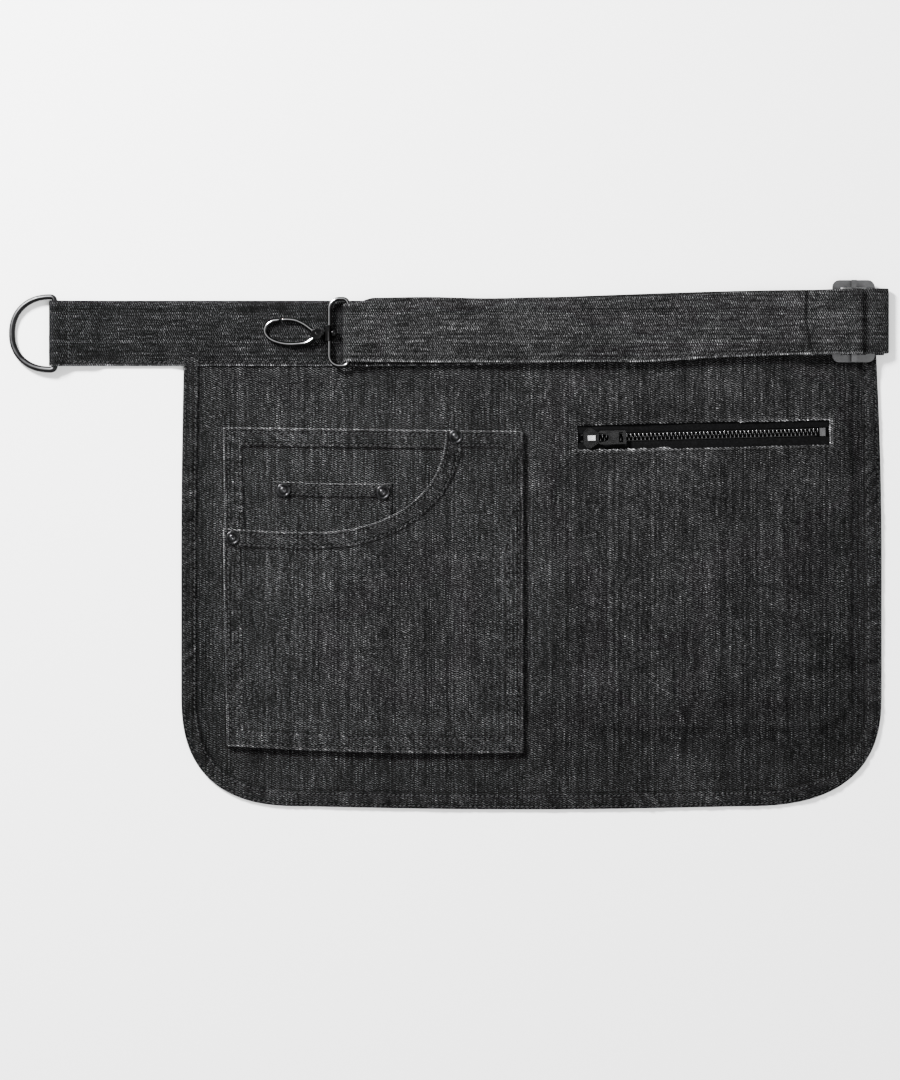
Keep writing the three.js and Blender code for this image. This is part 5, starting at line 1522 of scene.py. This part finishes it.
@dataclass
class Band:
    """A folded band of denim carried along a path seen from the side, with rounded edges.

    A point of its section is the path's point, plus y across the band and n along the path's normal.
    The faces are at n = h and n = -h, and near an edge h is cut to a quarter circle.
    """

    path: Array
    middle: Relief
    half: Relief
    rows: tuple[float, ...]
    count: int = 800
    seed: int = 50
    spread: float = 1.6
    slot: Relief | None = None
    # wear scales the patches of wear and the painted highlight along the edges
    wear: float = 1.0
    crease: Array | None = None
    rim: float = 9.0
    lip: float = 0.5
    _line: Array = field(init=False)
    _normal: Array = field(init=False)

    def __post_init__(self) -> None:
        """Eases the path and works out its normals."""
        self._line = rounded(self.path, self.count, self.spread)
        along = np.gradient(self._line[:, :2], axis=0)
        along /= np.linalg.norm(along, axis=1, keepdims=True)
        self._normal = np.stack([-along[:, 1], along[:, 0]], -1)

    def _across(self) -> tuple[Array, Array]:
        """Places across the band at each point of the path, and their distances from its edges."""
        rows = [row + shift for row in self.rows for shift in (-0.8, -0.4, 0.0, 0.4, 0.8)]
        near = np.array([0.0, 0.12, 0.35, 0.7, 1.1, *np.linspace(1.8, self.rim, 6), *rows])
        near = np.unique(near.round(2))
        half = self.half(self._line[:, 0])[:, None]
        share = np.linspace(1.0, -1.0, 14)[1:-1]
        y = np.concatenate([half - near, (half - self.rim) * share, near[::-1] - half], 1)
        return y, np.minimum(half - y, half + y)

    def _relief(self, y: Array, edge: Array) -> tuple[Array, Array]:
        """Bulges, grooves and ripples of the outer face, and its tone: wear, painted shade in the grooves
        and the crease, and a painted highlight along the edges.
        """
        along = travelled(self._line)[:, None]
        # the stitch row's groove is also painted shade in the tone
        groove = sum(hump(edge, row, 0.5) for row in self.rows) * (y < 0)
        place = np.stack([along + 0 * y, y], -1)
        wave = ripple(along + 0.8 * np.abs(y), 6.0, self.seed) * smooth(-edge, -6.0, -1.0)
        slow = waves(place, 30.0, self.seed + 1) + 0.5 * waves(place, 9.0, self.seed + 2)
        away = smooth(edge, 0.0, 1.2)
        patch = np.maximum(ripple(along, 8.0, self.seed + 3) + 0.6 * ripple(along, 3.0, self.seed + 4), 0)
        proud = hump(edge, 0.5, 0.9) + 0.35 * hump(edge, 1.6, 0.8)
        # painted highlight along the edges, much stronger on the lower edge
        line = np.where(y < 0, 2.5, 0.2) * hump(edge, 0.4, 0.6)
        tone = self.wear * (0.8 * patch * proud * np.where(y < 0, 1.0, 0.35) + line) - 0.9 * groove
        body = 0.25 * waves(place, 22.0, self.seed + 5) * smooth(-y, 2.0, 14.0)
        relief = 0.1 * slow + 0.12 * wave - 0.3 * groove
        if self.crease is not None:
            height = self.middle(self._line[:, 0])[:, None] + y
            gone = self._line[:, :1] - np.interp(height, self.crease[:, 1], self.crease[:, 0])
            cut = hump(gone, 0.0, 0.75) * (self._normal[:, 1:] > 0.3)
            # painted shade in the crease
            relief, tone = relief - 0.35 * cut, tone - 1.9 * cut
        return relief * away * smooth(self._normal[:, 1:], 0.0, 0.4), tone + body

    def skin(self) -> Skin:
        """The whole band."""
        y, edge = self._across()
        h = self._line[:, 2:3]
        lip = h + 0 * y
        if self.slot is not None:
            lip = np.where(y < 0, np.minimum(h, self.lip), lip)
        cut = np.sqrt(1.0 - (1.0 - np.clip(edge / lip, 0, 1)) ** 2)
        level = h - lip + lip * cut
        relief, tone = self._relief(y, edge)
        ys, ns, tones = [y], [level + relief], [tone]
        back = slice(None, 0, -1) if self.slot is not None else slice(-2, 0, -1)
        if self.slot is not None:
            half = self.half(self._line[:, 0])[:, None]
            depth = np.maximum(self.slot(self._line[:, 0])[:, None], 0.3)
            lip_in, room = np.minimum(self.lip, depth / 2), np.maximum(h - PLY, 0.05)
            ys.append(np.concatenate([lip_in, depth, depth, lip_in], 1) - half)
            ns.append(np.concatenate([room, room, -room, -room], 1))
            tones.append(np.zeros((len(h), 4)))
        ys.append(y[:, back])
        ns.append(-level[:, back])
        tones.append(0.5 * tone[:, back])
        y, n, tone = (np.concatenate(part, 1) for part in (ys, ns, tones))
        x = self._line[:, :1] + self._normal[:, :1] * n
        z = self._line[:, 1:2] + self._normal[:, 1:] * n
        rings = np.stack([x, self.middle(self._line[:, 0])[:, None] + y, z], -1)
        made = lofted(rings)
        return Skin(made.points, made.faces, np.concatenate([tone.ravel(), [0.0, 0.0]]))

    def row(self, distance: float, upper: bool, start: float, end: float) -> Array:
        """Path of a row of stitches on the outer face, where the band runs towards +X.

        Args:
            distance: from the edge.
            upper: whether the edge is the upper one.
            start: x where it starts.
            end: x where it ends.

        Returns:
            Its points.
        """
        x, z, h = self._line.T
        run = (self._normal[:, 1] > 0.3) & (x > start) & (x < end)
        side = 1.0 if upper else -1.0
        y = self.middle(x) + side * (self.half(x) - distance)
        n = h - 0.26
        place = np.stack([x + self._normal[:, 0] * n, y, z + self._normal[:, 1] * n], -1)
        return place[run]


def arc(x: float, z: float, radius: float, start: float, end: float, half: float) -> list[tuple]:
    """Part of a band's path that goes round an axis along Y.

    Args:
        x: the axis's place along the belt.
        z: its height.
        radius: the path's distance from it.
        start: first angle in degrees, from +X towards +Z.
        end: last angle.
        half: the band's half thickness there.

    Returns:
        Rows of x, z and half thickness.
    """
    turn = np.radians(np.linspace(start, end, 17))
    return [(x + radius * math.cos(t), z + radius * math.sin(t), half) for t in turn]


@dataclass
class Belt:
    """The waistband with its tab round the D ring, and the strap that doubles back over it."""

    finishes: Finishes

    def waistband(self) -> bpy.types.Object:
        """The waistband: a U round the panel's top, drawn out to a tab that turns round the ring."""
        path = [(-280.4, 0.95, 0.9), (-296.0, 1.0, 1.0)]
        path += arc(-305.2, 4.0, 3.0, -90, -270, 1.0)
        path += [(-295.6, 2.95, 1.0), (-281.2, 2.95, 1.0), (-274.8, 1.0, 1.0), (-231.0, 1.0, 1.0)]
        path += [(-223.6, 1.8, 1.8), (-222.0, 1.8, 1.8), (WAIST_END, 1.8, 1.8)]
        band = Band(
            np.array(path), lambda x: 21.0 + waist_rise(x), lambda x: 21.0 + 0 * x, (BELT_ROW,), 620, 51,
            slot=lambda x: 14.6 * smooth(x, -224.0, -222.5),
        )
        made = band.skin().piece("belt_band", "apron", "belt_denim", self.finishes.belt)
        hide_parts("waistband")
        rows = [band.row(BELT_ROW, False, -294.0, 225.0)]
        cross = np.linspace(1.5, 40.5, 30)
        rows.append(np.stack([np.full(30, -296.3), cross, np.full(30, 4.25)], -1))
        sewn("belt_stitches", rows, self.finishes.thread)
        return made

    def strap(self) -> bpy.types.Object:
        """The strap: back through the tri-glide, round the ring and forward again to its sewn end."""
        path = [(225.8, 1.8, 0.5)] + arc(226.7, 3.35, 1.55, -80, 90, 1.0)
        path += [(220.05, 7.0, 1), (214.35, 7.0, 1), (209.65, 4.9, 1), (204.5, 4.9, 1)]
        path += [(198.15, 7.0, 1), (192.45, 7.0, 1), (185.35, 4.9, 1), (-108.2, 4.9, 1)]
        path += arc(-117.2, 7.5, 2.6, -90, -270, 1.0)
        path += [(-108.2, 8.985, 1), (-93.8, 7.2, 1), (162.45, 7.2, 1), (170.85, 9.5, 1)]
        path += [(185.35, 9.5, 1), (192.45, 11.6, 1), (209.0, 11.6, 1)]
        path += arc(209.0, 9.4, 2.2, 90, -90, 1.0)[1:]
        path += [(204.5, 7.2, 1), (198.15, 9.3, 1), (192.45, 9.3, 1), (185.35, 7.2, 1), (171.85, 7.2, 1)]

        def near(x: Array) -> Array:
            """1 at the ring's bar and 0 a little to the right of it."""
            return 1 - smooth(x, -115.0, -100.0)

        band = Band(
            np.array(path, float),
            lambda x: strap_middle(x) - 1.5 * near(x) + 0.25 * np.sin(x / 17.0),
            lambda x: 20.8 - 2.3 * near(x) + 0.2 * np.sin(x / 11.0 + 1.0),
            (BELT_ROW,), 1150, 61, wear=0.9,
            crease=np.array([(180.0, 5.0), (175.4, 29.0), (175.9, 50.0)]),
        )
        made = band.skin().piece("belt_strap", "apron", "belt_denim", self.finishes.strap)
        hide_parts("strap")
        sewn("strap_stitches", [band.row(BELT_ROW, False, -112.0, 207.0)], self.finishes.thread)
        return made


def rounded_rectangle(left: float, right: float, low: float, high: float, radii: Sequence[float]) -> Array:
    """Rectangle with arcs at its corners.

    Args:
        left: least x.
        right: greatest x.
        low: least y.
        high: greatest y.
        radii: the corners', anticlockwise from the lower left.

    Returns:
        (n, 2) points, anticlockwise.
    """
    corners = [(left, low, 180), (right, low, 270), (right, high, 0), (left, high, 90)]
    inward = [(1, 1), (-1, 1), (-1, -1), (1, -1)]
    parts = []
    for (x, y, start), (across, up), radius in zip(corners, inward, radii):
        turn = np.radians(np.linspace(start, start + 90, 13))
        centre = (x + across * radius, y + up * radius)
        parts.append(np.stack([centre[0] + radius * np.cos(turn), centre[1] + radius * np.sin(turn)], -1))
    return np.vstack(parts)


def along_x(skin: Skin, place: Array) -> Skin:
    """A surface made about Z, laid down so that its axis runs along +X, and moved to its place."""
    x, y, z = skin.points.T
    return Skin(np.stack([z, y, -x], -1) + place, skin.faces, skin.tone)


def cap_profile(radius: float, start: float, end: float, edge: float) -> Array:
    """Profile of a round bar with eased ends.

    Args:
        radius: the bar's.
        start: height of its lower end.
        end: height of its upper end.
        edge: how far the ends are eased.

    Returns:
        Rows of radius and height.
    """
    turn = np.linspace(0, np.pi / 2, 6)
    low = np.stack([radius - edge + edge * np.sin(turn), start + edge * (1 - np.cos(turn))], -1)
    high = np.stack([radius - edge + edge * np.cos(turn), end - edge * (1 - np.sin(turn))], -1)
    return np.vstack([[[0.0, start]], low, high, [[0.0, end]]])


@dataclass
class Hardware:
    """Metal of the belt: the D ring, the ring with the swivel hook and its gate, and the tri-glide."""

    finishes: Finishes
    reach: float = 41.3
    half: float = 7.7
    pivot: tuple[float, float] = (-8.5, -0.6)
    sides: int = 36
    bar: float = 20.8
    corner: float = 2.5
    bow: tuple[float, float, float] = (25.1, 23.3, 2.2)
    d_tilt: float = -0.0834
    d_place: tuple[float, float, float] = (-305.2, 21.0, 4.0)
    ring_tilt: float = -0.0432
    ring_place: tuple[float, float, float] = (-117.2, 21.5, 7.5)
    ring_wire: float = 1.3
    hook_shift: tuple[float, float, float] = (-12.0, -0.5, 0.0)

    def d_ring(self) -> None:
        """D ring: a straight bar and a superellipse bow of slightly wider wire."""
        bow = quarter(*self.bow, 40)
        corner = quarter(self.corner, self.corner, 2.0, 8)
        turn = corner + (-self.corner, self.bar)
        rise = np.stack([-self.corner - bow[:-1, 0], bow[:-1, 1]], -1)[::-1]
        upper = np.vstack([turn, rise])
        lower = (upper[:-1] * (1, -1))[::-1]
        path = resample(np.vstack([upper, lower, upper[:1]]), 181)[:-1]
        share = np.linspace(0, 1, 180)
        wide = 1.7 + 0.4 * np.sin(np.pi * share)
        flat = np.concatenate([path, np.zeros((180, 1))], 1)
        ring = wire(flat, wide, 1.7, self.sides, True)
        ring = tilted(ring, self.d_tilt, np.array(self.d_place))
        made = ring.piece("d_ring_wire", "tab_ring", "ring_metal", self.finishes.ring)
        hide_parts("d_ring")

    def _to_ring(self, skin: Skin) -> Skin:
        """Something made about the ring's strap bar, tilted and moved to its place."""
        return tilted(skin, self.ring_tilt, np.array(self.ring_place))

    def _to_hook(self, skin: Skin) -> Skin:
        """Something made about the ring's hook bar, at its place."""
        moved = Skin(skin.points + self.hook_shift, skin.faces, skin.tone)
        return self._to_ring(moved)

    def ring(self) -> None:
        """The wire ring with the collar on its hook side."""
        outline = rounded_rectangle(-12.0, 0.0, -21.45, 21.45, (6.5, 3.5, 3.5, 6.5))
        path = resample(np.vstack([outline, outline[:1]]), 161)[:-1]
        flat = np.concatenate([path, np.zeros((160, 1))], 1)
        body = wire(flat, self.ring_wire, self.ring_wire, self.sides, True)
        collar = lathe(cap_profile(2.3, -5.1, 5.1, 0.5), 40)
        x, y, z = collar.points.T
        collar = Skin(np.stack([x - 13.2, z - 0.5, -y], -1), collar.faces)
        made = self._to_ring(joined([body, collar]))
        made = made.piece("ring_wire", "hook_ring", "hook_metal", self.finishes.hook)
        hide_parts("strap_ring")

    def _line(self, table: Sequence[tuple[float, float]]) -> Array:
        """Places of a table of shares along and up the hook."""
        return np.array(table) * (-self.reach, self.half)

    def hook(self) -> None:
        """The hook: stud head, neck, two cheeks, and the arm round to its nose."""
        table = [(0.25, -0.45), (0.334, -0.77), (0.415, -0.87), (0.5, -0.91), (0.6, -0.93)]
        table += [(0.707, -0.89), (0.82, -0.74), (0.915, -0.5), (0.98, -0.14), (1.0, 0.25)]
        table += [(0.965, 0.7), (0.885, 0.98), (0.775, 1.1)]
        path = resample(spline(self._line(table), 8), 120)
        share = np.linspace(0, 1, 120)
        wide = 1.3 + 0.5 * hump(share, 0.07, 0.07) - 0.1 * hump(share, 0.0, 0.02)
        high = 1.3 + 0.65 * hump(share, 0.0, 0.12)
        ends = np.clip(np.minimum(1.0, (1 - share) / 0.012), 0.25, 1)
        arm = wire(np.concatenate([path, np.zeros((120, 1))], 1), wide * ends, high * ends, self.sides)
        x, y = self.pivot
        disc = lathe(cap_profile(3.5, 1.15, 2.1, 0.35), 40)
        upper = Skin(disc.points + (x, y, 0.0), disc.faces)
        lower = Skin(disc.points + (x, y, -3.25), disc.faces)
        pin = lathe(np.array([[0, 2.0], [1.1, 2.0], [1.1, 2.25], [0.8, 2.4], [0.0, 2.45]]), 24)
        pin = Skin(pin.points + (x, y, 0.0), pin.faces)
        neck = along_x(lathe(cap_profile(2.1, -5.4, -3.8, 0.3), 32), np.zeros(3))
        head = along_x(lathe(cap_profile(2.6, 1.4, 4.0, 0.6), 32), np.zeros(3))
        made = self._to_hook(joined([arm, upper, lower, pin, neck, head]))
        made = made.piece("hook_body", "hook_frame", "hook_metal", self.finishes.hook)
        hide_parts("snap_hook")

    def gate(self) -> None:
        """The gate: an eye between the cheeks and an arm that ends just short of the nose."""
        table = [(0.22, 0.0), (0.3, 0.36), (0.4, 0.74), (0.52, 1.03), (0.64, 1.12)]
        tip = self._line([(0.775, 1.1)]) + (1.1, 0.0)
        path = resample(spline(np.vstack([self._line(table), tip]), 8), 70)
        share = np.linspace(0, 1, 70)
        ends = np.clip((1 - share) / 0.02, 0.4, 1)
        thick = 0.8 + 0.4 * np.minimum(2 * share, 1)
        arm = wire(np.concatenate([path, np.zeros((70, 1))], 1), 1.2 * ends, thick * ends, self.sides)
        eye = lathe(cap_profile(1.9, -0.8, 0.8, 0.2), 32)
        eye = Skin(eye.points + (*self.pivot, 0.0), eye.faces)
        made = self._to_hook(joined([arm, eye]))
        made = made.piece("gate_wire", "gate_arm", "hook_metal", self.finishes.hook)
        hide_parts("hook_gate")


def dressed(name: str, finish: bpy.types.Material, edge: float) -> None:
    """A CAD node with the right shape: its sharp edges broken, and its own finish.

    Args:
        name: the node's name.
        finish: its material.
        edge: how far each edge is broken.
    """
    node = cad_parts[name]
    bevel = node.modifiers.new("edge", "BEVEL")
    bevel.width, bevel.segments, bevel.limit_method = edge * MM, 3, "ANGLE"
    bevel.angle_limit = SHARP
    bevel.harden_normals = True
    node.material_slots[0].link = "OBJECT"
    node.material_slots[0].material = finish


@dataclass
class Zip:
    """Tapes and teeth of the zip about the middle of its opening."""

    finishes: Finishes
    place: ZipPlace
    slider_x: float = -72.5
    pitch: float = 2.6
    end: float = 72.9
    level: float = 3.4
    half: tuple[float, float, float] = (0.62, 1.9, 1.0)
    tape_across: tuple[float, float] = (2.9, 12.0)
    tape_reach: float = 85.3
    tape_height: tuple[float, float] = (2.9, 3.9)
    # painted highlight on the teeth, for the upper and the lower row
    painted_tooth_highlight: tuple[float, float] = (1.0, 0.4)

    def tape(self, side: int) -> bpy.types.Object:
        """One half of the tape, above (1) or below (-1) the chain."""
        near, far = sorted(side * edge for edge in self.tape_across)
        end = self.tape_reach
        outline = np.array([[-end, near], [end, near], [end, far], [-end, far]])
        label = "upper" if side > 0 else "lower"
        skin = self.place.move(bevelled(outline, *self.tape_height, 0.3))
        made = skin.piece(f"tape_{label}", "apron", "zip_tape", self.finishes.tape)
        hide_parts(f"zip_tape_{label}")
        return made

    def teeth(self, side: int) -> None:
        """One half of the chain, above (1) or below (-1): rounded teeth on a beaded edge.

        A tooth's point is (a sin^p(s) cos(t), b cos^q(s), c sin^p(s) sin(t)) of a superellipsoid
        that is drawn out across the chain, with s from pole to pole and t round it.
        """
        first = self.slider_x - 0.8 + (0.0 if side > 0 else self.pitch / 2)
        count = int((self.end - first) / self.pitch) + 1
        tall = np.linspace(0, np.pi, 6)[1:-1, None]
        around = np.linspace(0, 2 * np.pi, 8, endpoint=False)
        wide, deep, high = self.half
        round_off = np.sin(tall) ** 0.5
        long = deep * np.sign(np.cos(tall)) * np.abs(np.cos(tall)) ** 0.7 + 0 * around
        ring = (wide * round_off * np.cos(around), long, high * round_off * np.sin(around))
        template = np.stack(ring, -1)
        one = lofted(template)
        x = first + 0.5 + self.pitch * np.arange(count)
        centre = np.stack([x, np.full(count, side * 0.9), np.full(count, self.level)], -1)
        moved = one.points[None] + centre[:, None]
        shift = (np.arange(count) * len(one.points))[:, None, None]
        faces = [(part[None] + shift).reshape(-1, part.shape[1]) for part in one.faces]
        # painted highlight on the upper outer part of each tooth, stronger on the upper row
        outer = smooth(side * one.points[:, 1], 0.2, 1.2) * smooth(one.points[:, 2], 0.3, 0.8)
        wear_and_painted_light = self.painted_tooth_highlight[0] if side > 0 else self.painted_tooth_highlight[1]
        chain = Skin(moved.reshape(-1, 3), faces, np.tile(wear_and_painted_light * outer, count))
        bead = np.array([[first, side * 2.3, self.level], [x[-1] + 0.5, side * 2.3, self.level]])
        edge = wire(resample(bead, 60), 0.5, 0.9, 10)
        parts = joined([chain, Skin(edge.points, edge.faces)])
        label = "upper" if side > 0 else "lower"
        made = self.place.move(parts).piece(f"teeth_{label}", "apron", "zip_metal", self.finishes.zip)
        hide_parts(f"zip_teeth_{label}")

    def build(self) -> list[bpy.types.Object]:
        """Tapes, teeth, and the slider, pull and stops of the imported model."""
        for side in (1, -1):
            self.teeth(side)
        dressed("zip_slider", self.finishes.slider, 0.35)
        dressed("zip_pull", self.finishes.zip, 0.25)
        dressed("zip_bottom_stop", self.finishes.glide, 0.3)
        for name in ("zip_top_stop_upper", "zip_top_stop_lower"):
            dressed(name, self.finishes.zip, 0.2)
        return [self.tape(1), self.tape(-1)]


@dataclass
class Bag:
    """The zip pocket's bag behind the panel: two plies sewn round their edge."""

    finishes: Finishes
    place: ZipPlace
    levels: tuple[float, float] = (0.0, 1.4)
    mouth: float = 1.0

    def build(self) -> list[bpy.types.Object]:
        """Both plies; the front one has the zip's mouth in it."""
        west, east, low, high = BAG_BOX
        turn = quarter(BAG_CORNER, BAG_CORNER, 2.0, 24)
        rise = low + BAG_CORNER - turn[:, 1]
        lower_left = np.stack([west + BAG_CORNER - turn[:, 0], rise], -1)
        lower_right = np.stack([east - BAG_CORNER + turn[:, 0], rise], -1)[::-1]
        left = np.vstack([[west, high], lower_left[:12]])
        bottom = np.vstack([lower_left[11:], lower_right[:13]])
        right = np.vstack([lower_right[12:], [east, high]])
        top = np.array([[east, high], [west, high]])
        sides = [[Side(resample(line, 120))] for line in (top, right, bottom, left)]
        made = []
        slots = (None, self.place.corners(self.mouth))
        for name, level, slot in zip(("back", "front"), self.levels, slots):
            hem = Hem(width=5.0, thickness=1.0, rows=(4.0,), ripple=0.0, groove=0.1, bulge=0.0)
            patch = Patch(*sides, hem, lambda x, y, z=level: z + 0 * x, 80, 90, 71, 0.0, slot)
            skin = patch.skin()
            made.append(skin.piece(f"zip_bag_{name}", "apron", "pocketing", self.finishes.pocketing))
        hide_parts("zip_pocket_bag")
        return made


@dataclass
class Rivets:
    """Jeans rivets: a flanged cap with a groove round a dimpled dome, on a shank."""

    finishes: Finishes
    cap: tuple[tuple[float, float], ...] = (
        (4.1, 0.0), (4.42, 0.12), (4.5, 0.4), (4.42, 0.72), (4.15, 1.0), (3.8, 1.14), (3.45, 1.12),
        (3.15, 0.95), (2.98, 0.72), (2.86, 0.6), (2.7, 0.62), (2.55, 0.8), (2.35, 1.1), (2.0, 1.4),
        (1.55, 1.6), (1.1, 1.68), (0.8, 1.62), (0.55, 1.5), (0.3, 1.42), (0.0, 1.4),
    )

    def build(self) -> None:
        """The four rivets."""
        places = {
            "rivet_scoop_low": (6.2, -71.0, 5.25),
            "rivet_scoop_high": (149.0, -6.2, 5.25),
            "rivet_coin_left": (38.8, -40.5, 4.6),
            "rivet_coin_right": (102.3, -41.9, 4.6),
        }
        for number, (name, (x, y, seat)) in enumerate(places.items()):
            cap = np.array(self.cap) + (0.0, seat)
            profile = np.vstack([[[0.0, 0.0], [1.5, 0.0], [1.5, seat]], cap])
            skin = lathe(profile, 72)
            centre = np.array([x, y]) + POCKET_CORNER
            skin = tilted(skin, 0.01 * (number - 1.5), np.array([*centre, 0.0]))
            made = skin.piece(f"{name}_cap", "apron", "rivet_metal", self.finishes.rivet)
            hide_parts(name)


@dataclass
class Studio:
    """Pale table, soft light from the upper left, and the photo's camera."""

    shade: float = 0.9
    roughness: float = 0.8
    half: float = 6.0
    level: float = -0.0002
    key: float = 215.0
    key_size: float = 0.4
    key_place: tuple[float, float, float] = (-1.0, 1.15, 1.1)
    fill: float = 62.0
    fill_size: float = 1.6
    fill_place: tuple[float, float, float] = (0.9, -0.5, 2.6)
    world: float = 1.0
    lens: float = 200.0
    sensor: float = 36.0
    far_end: float = 100.0
    eye: tuple[float, float, float] = (0.00055, 0.00314, 3.845)

    def build(self) -> None:
        """Adds the table, the world, the two lights and the camera."""
        mesh = bpy.data.meshes.new("table")
        signs = ((-1, -1), (1, -1), (1, 1), (-1, 1))
        corners = [(across * self.half, up * self.half, self.level) for across, up in signs]
        mesh.from_pydata(corners, [], [(0, 1, 2, 3)])
        floor = bpy.data.objects.new("table", mesh)
        bpy.context.scene.collection.objects.link(floor)
        paper, _, surface = shader("white_paper")
        surface.inputs["Base Color"].default_value = (self.shade, self.shade, self.shade, 1.0)
        surface.inputs["Roughness"].default_value = self.roughness
        floor.data.materials.append(paper)
        world = bpy.data.worlds.new("studio")
        world.use_nodes = True
        back = world.node_tree.nodes["Background"]
        back.inputs[0].default_value = (1.0, 1.0, 1.0, 1.0)
        back.inputs[1].default_value = self.world
        bpy.context.scene.world = world
        self.light("key", self.key_place, self.key_size, self.key)
        self.light("fill", self.fill_place, self.fill_size, self.fill)
        self.camera()

    def light(self, name: str, place: tuple[float, float, float], size: float, power: float) -> None:
        """A square area light that faces the apron's middle.

        Args:
            name: its name.
            place: where it is, in metres of the row frame.
            size: its side in metres.
            power: its power in watts.
        """
        data = bpy.data.lights.new(name, "AREA")
        data.energy, data.size = power, size
        lamp = bpy.data.objects.new(name, data)
        lamp.location = place
        lamp.rotation_euler = (-Vector(place)).to_track_quat("-Z", "Y").to_euler()
        bpy.context.scene.collection.objects.link(lamp)

    def camera(self) -> None:
        """A long lens straight above the apron."""
        data = bpy.data.cameras.new("above")
        data.lens, data.sensor_width, data.clip_end = self.lens, self.sensor, self.far_end
        made = bpy.data.objects.new("above", data)
        made.location = self.eye
        bpy.context.scene.collection.objects.link(made)
        bpy.context.scene.camera = made


def main() -> None:
    """Builds every piece in order."""
    logging.basicConfig(level=logging.INFO, format="%(message)s")
    Studio().build()
    finishes = all_finishes()
    place = ZipPlace()
    panel = Panel(finishes, place).build()
    pocket = PatchPocket(finishes).build()
    belt = Belt(finishes)
    band, strap = belt.waistband(), belt.strap()
    bag = Bag(finishes, place).build()
    tapes = Zip(finishes, place).build()
    Rivets(finishes).build()
    metal = Hardware(finishes)
    metal.d_ring()
    metal.ring()
    metal.hook()
    metal.gate()
    dressed("tri_glide", finishes.glide, 0.5)


if __name__ == "__main__":
    main()
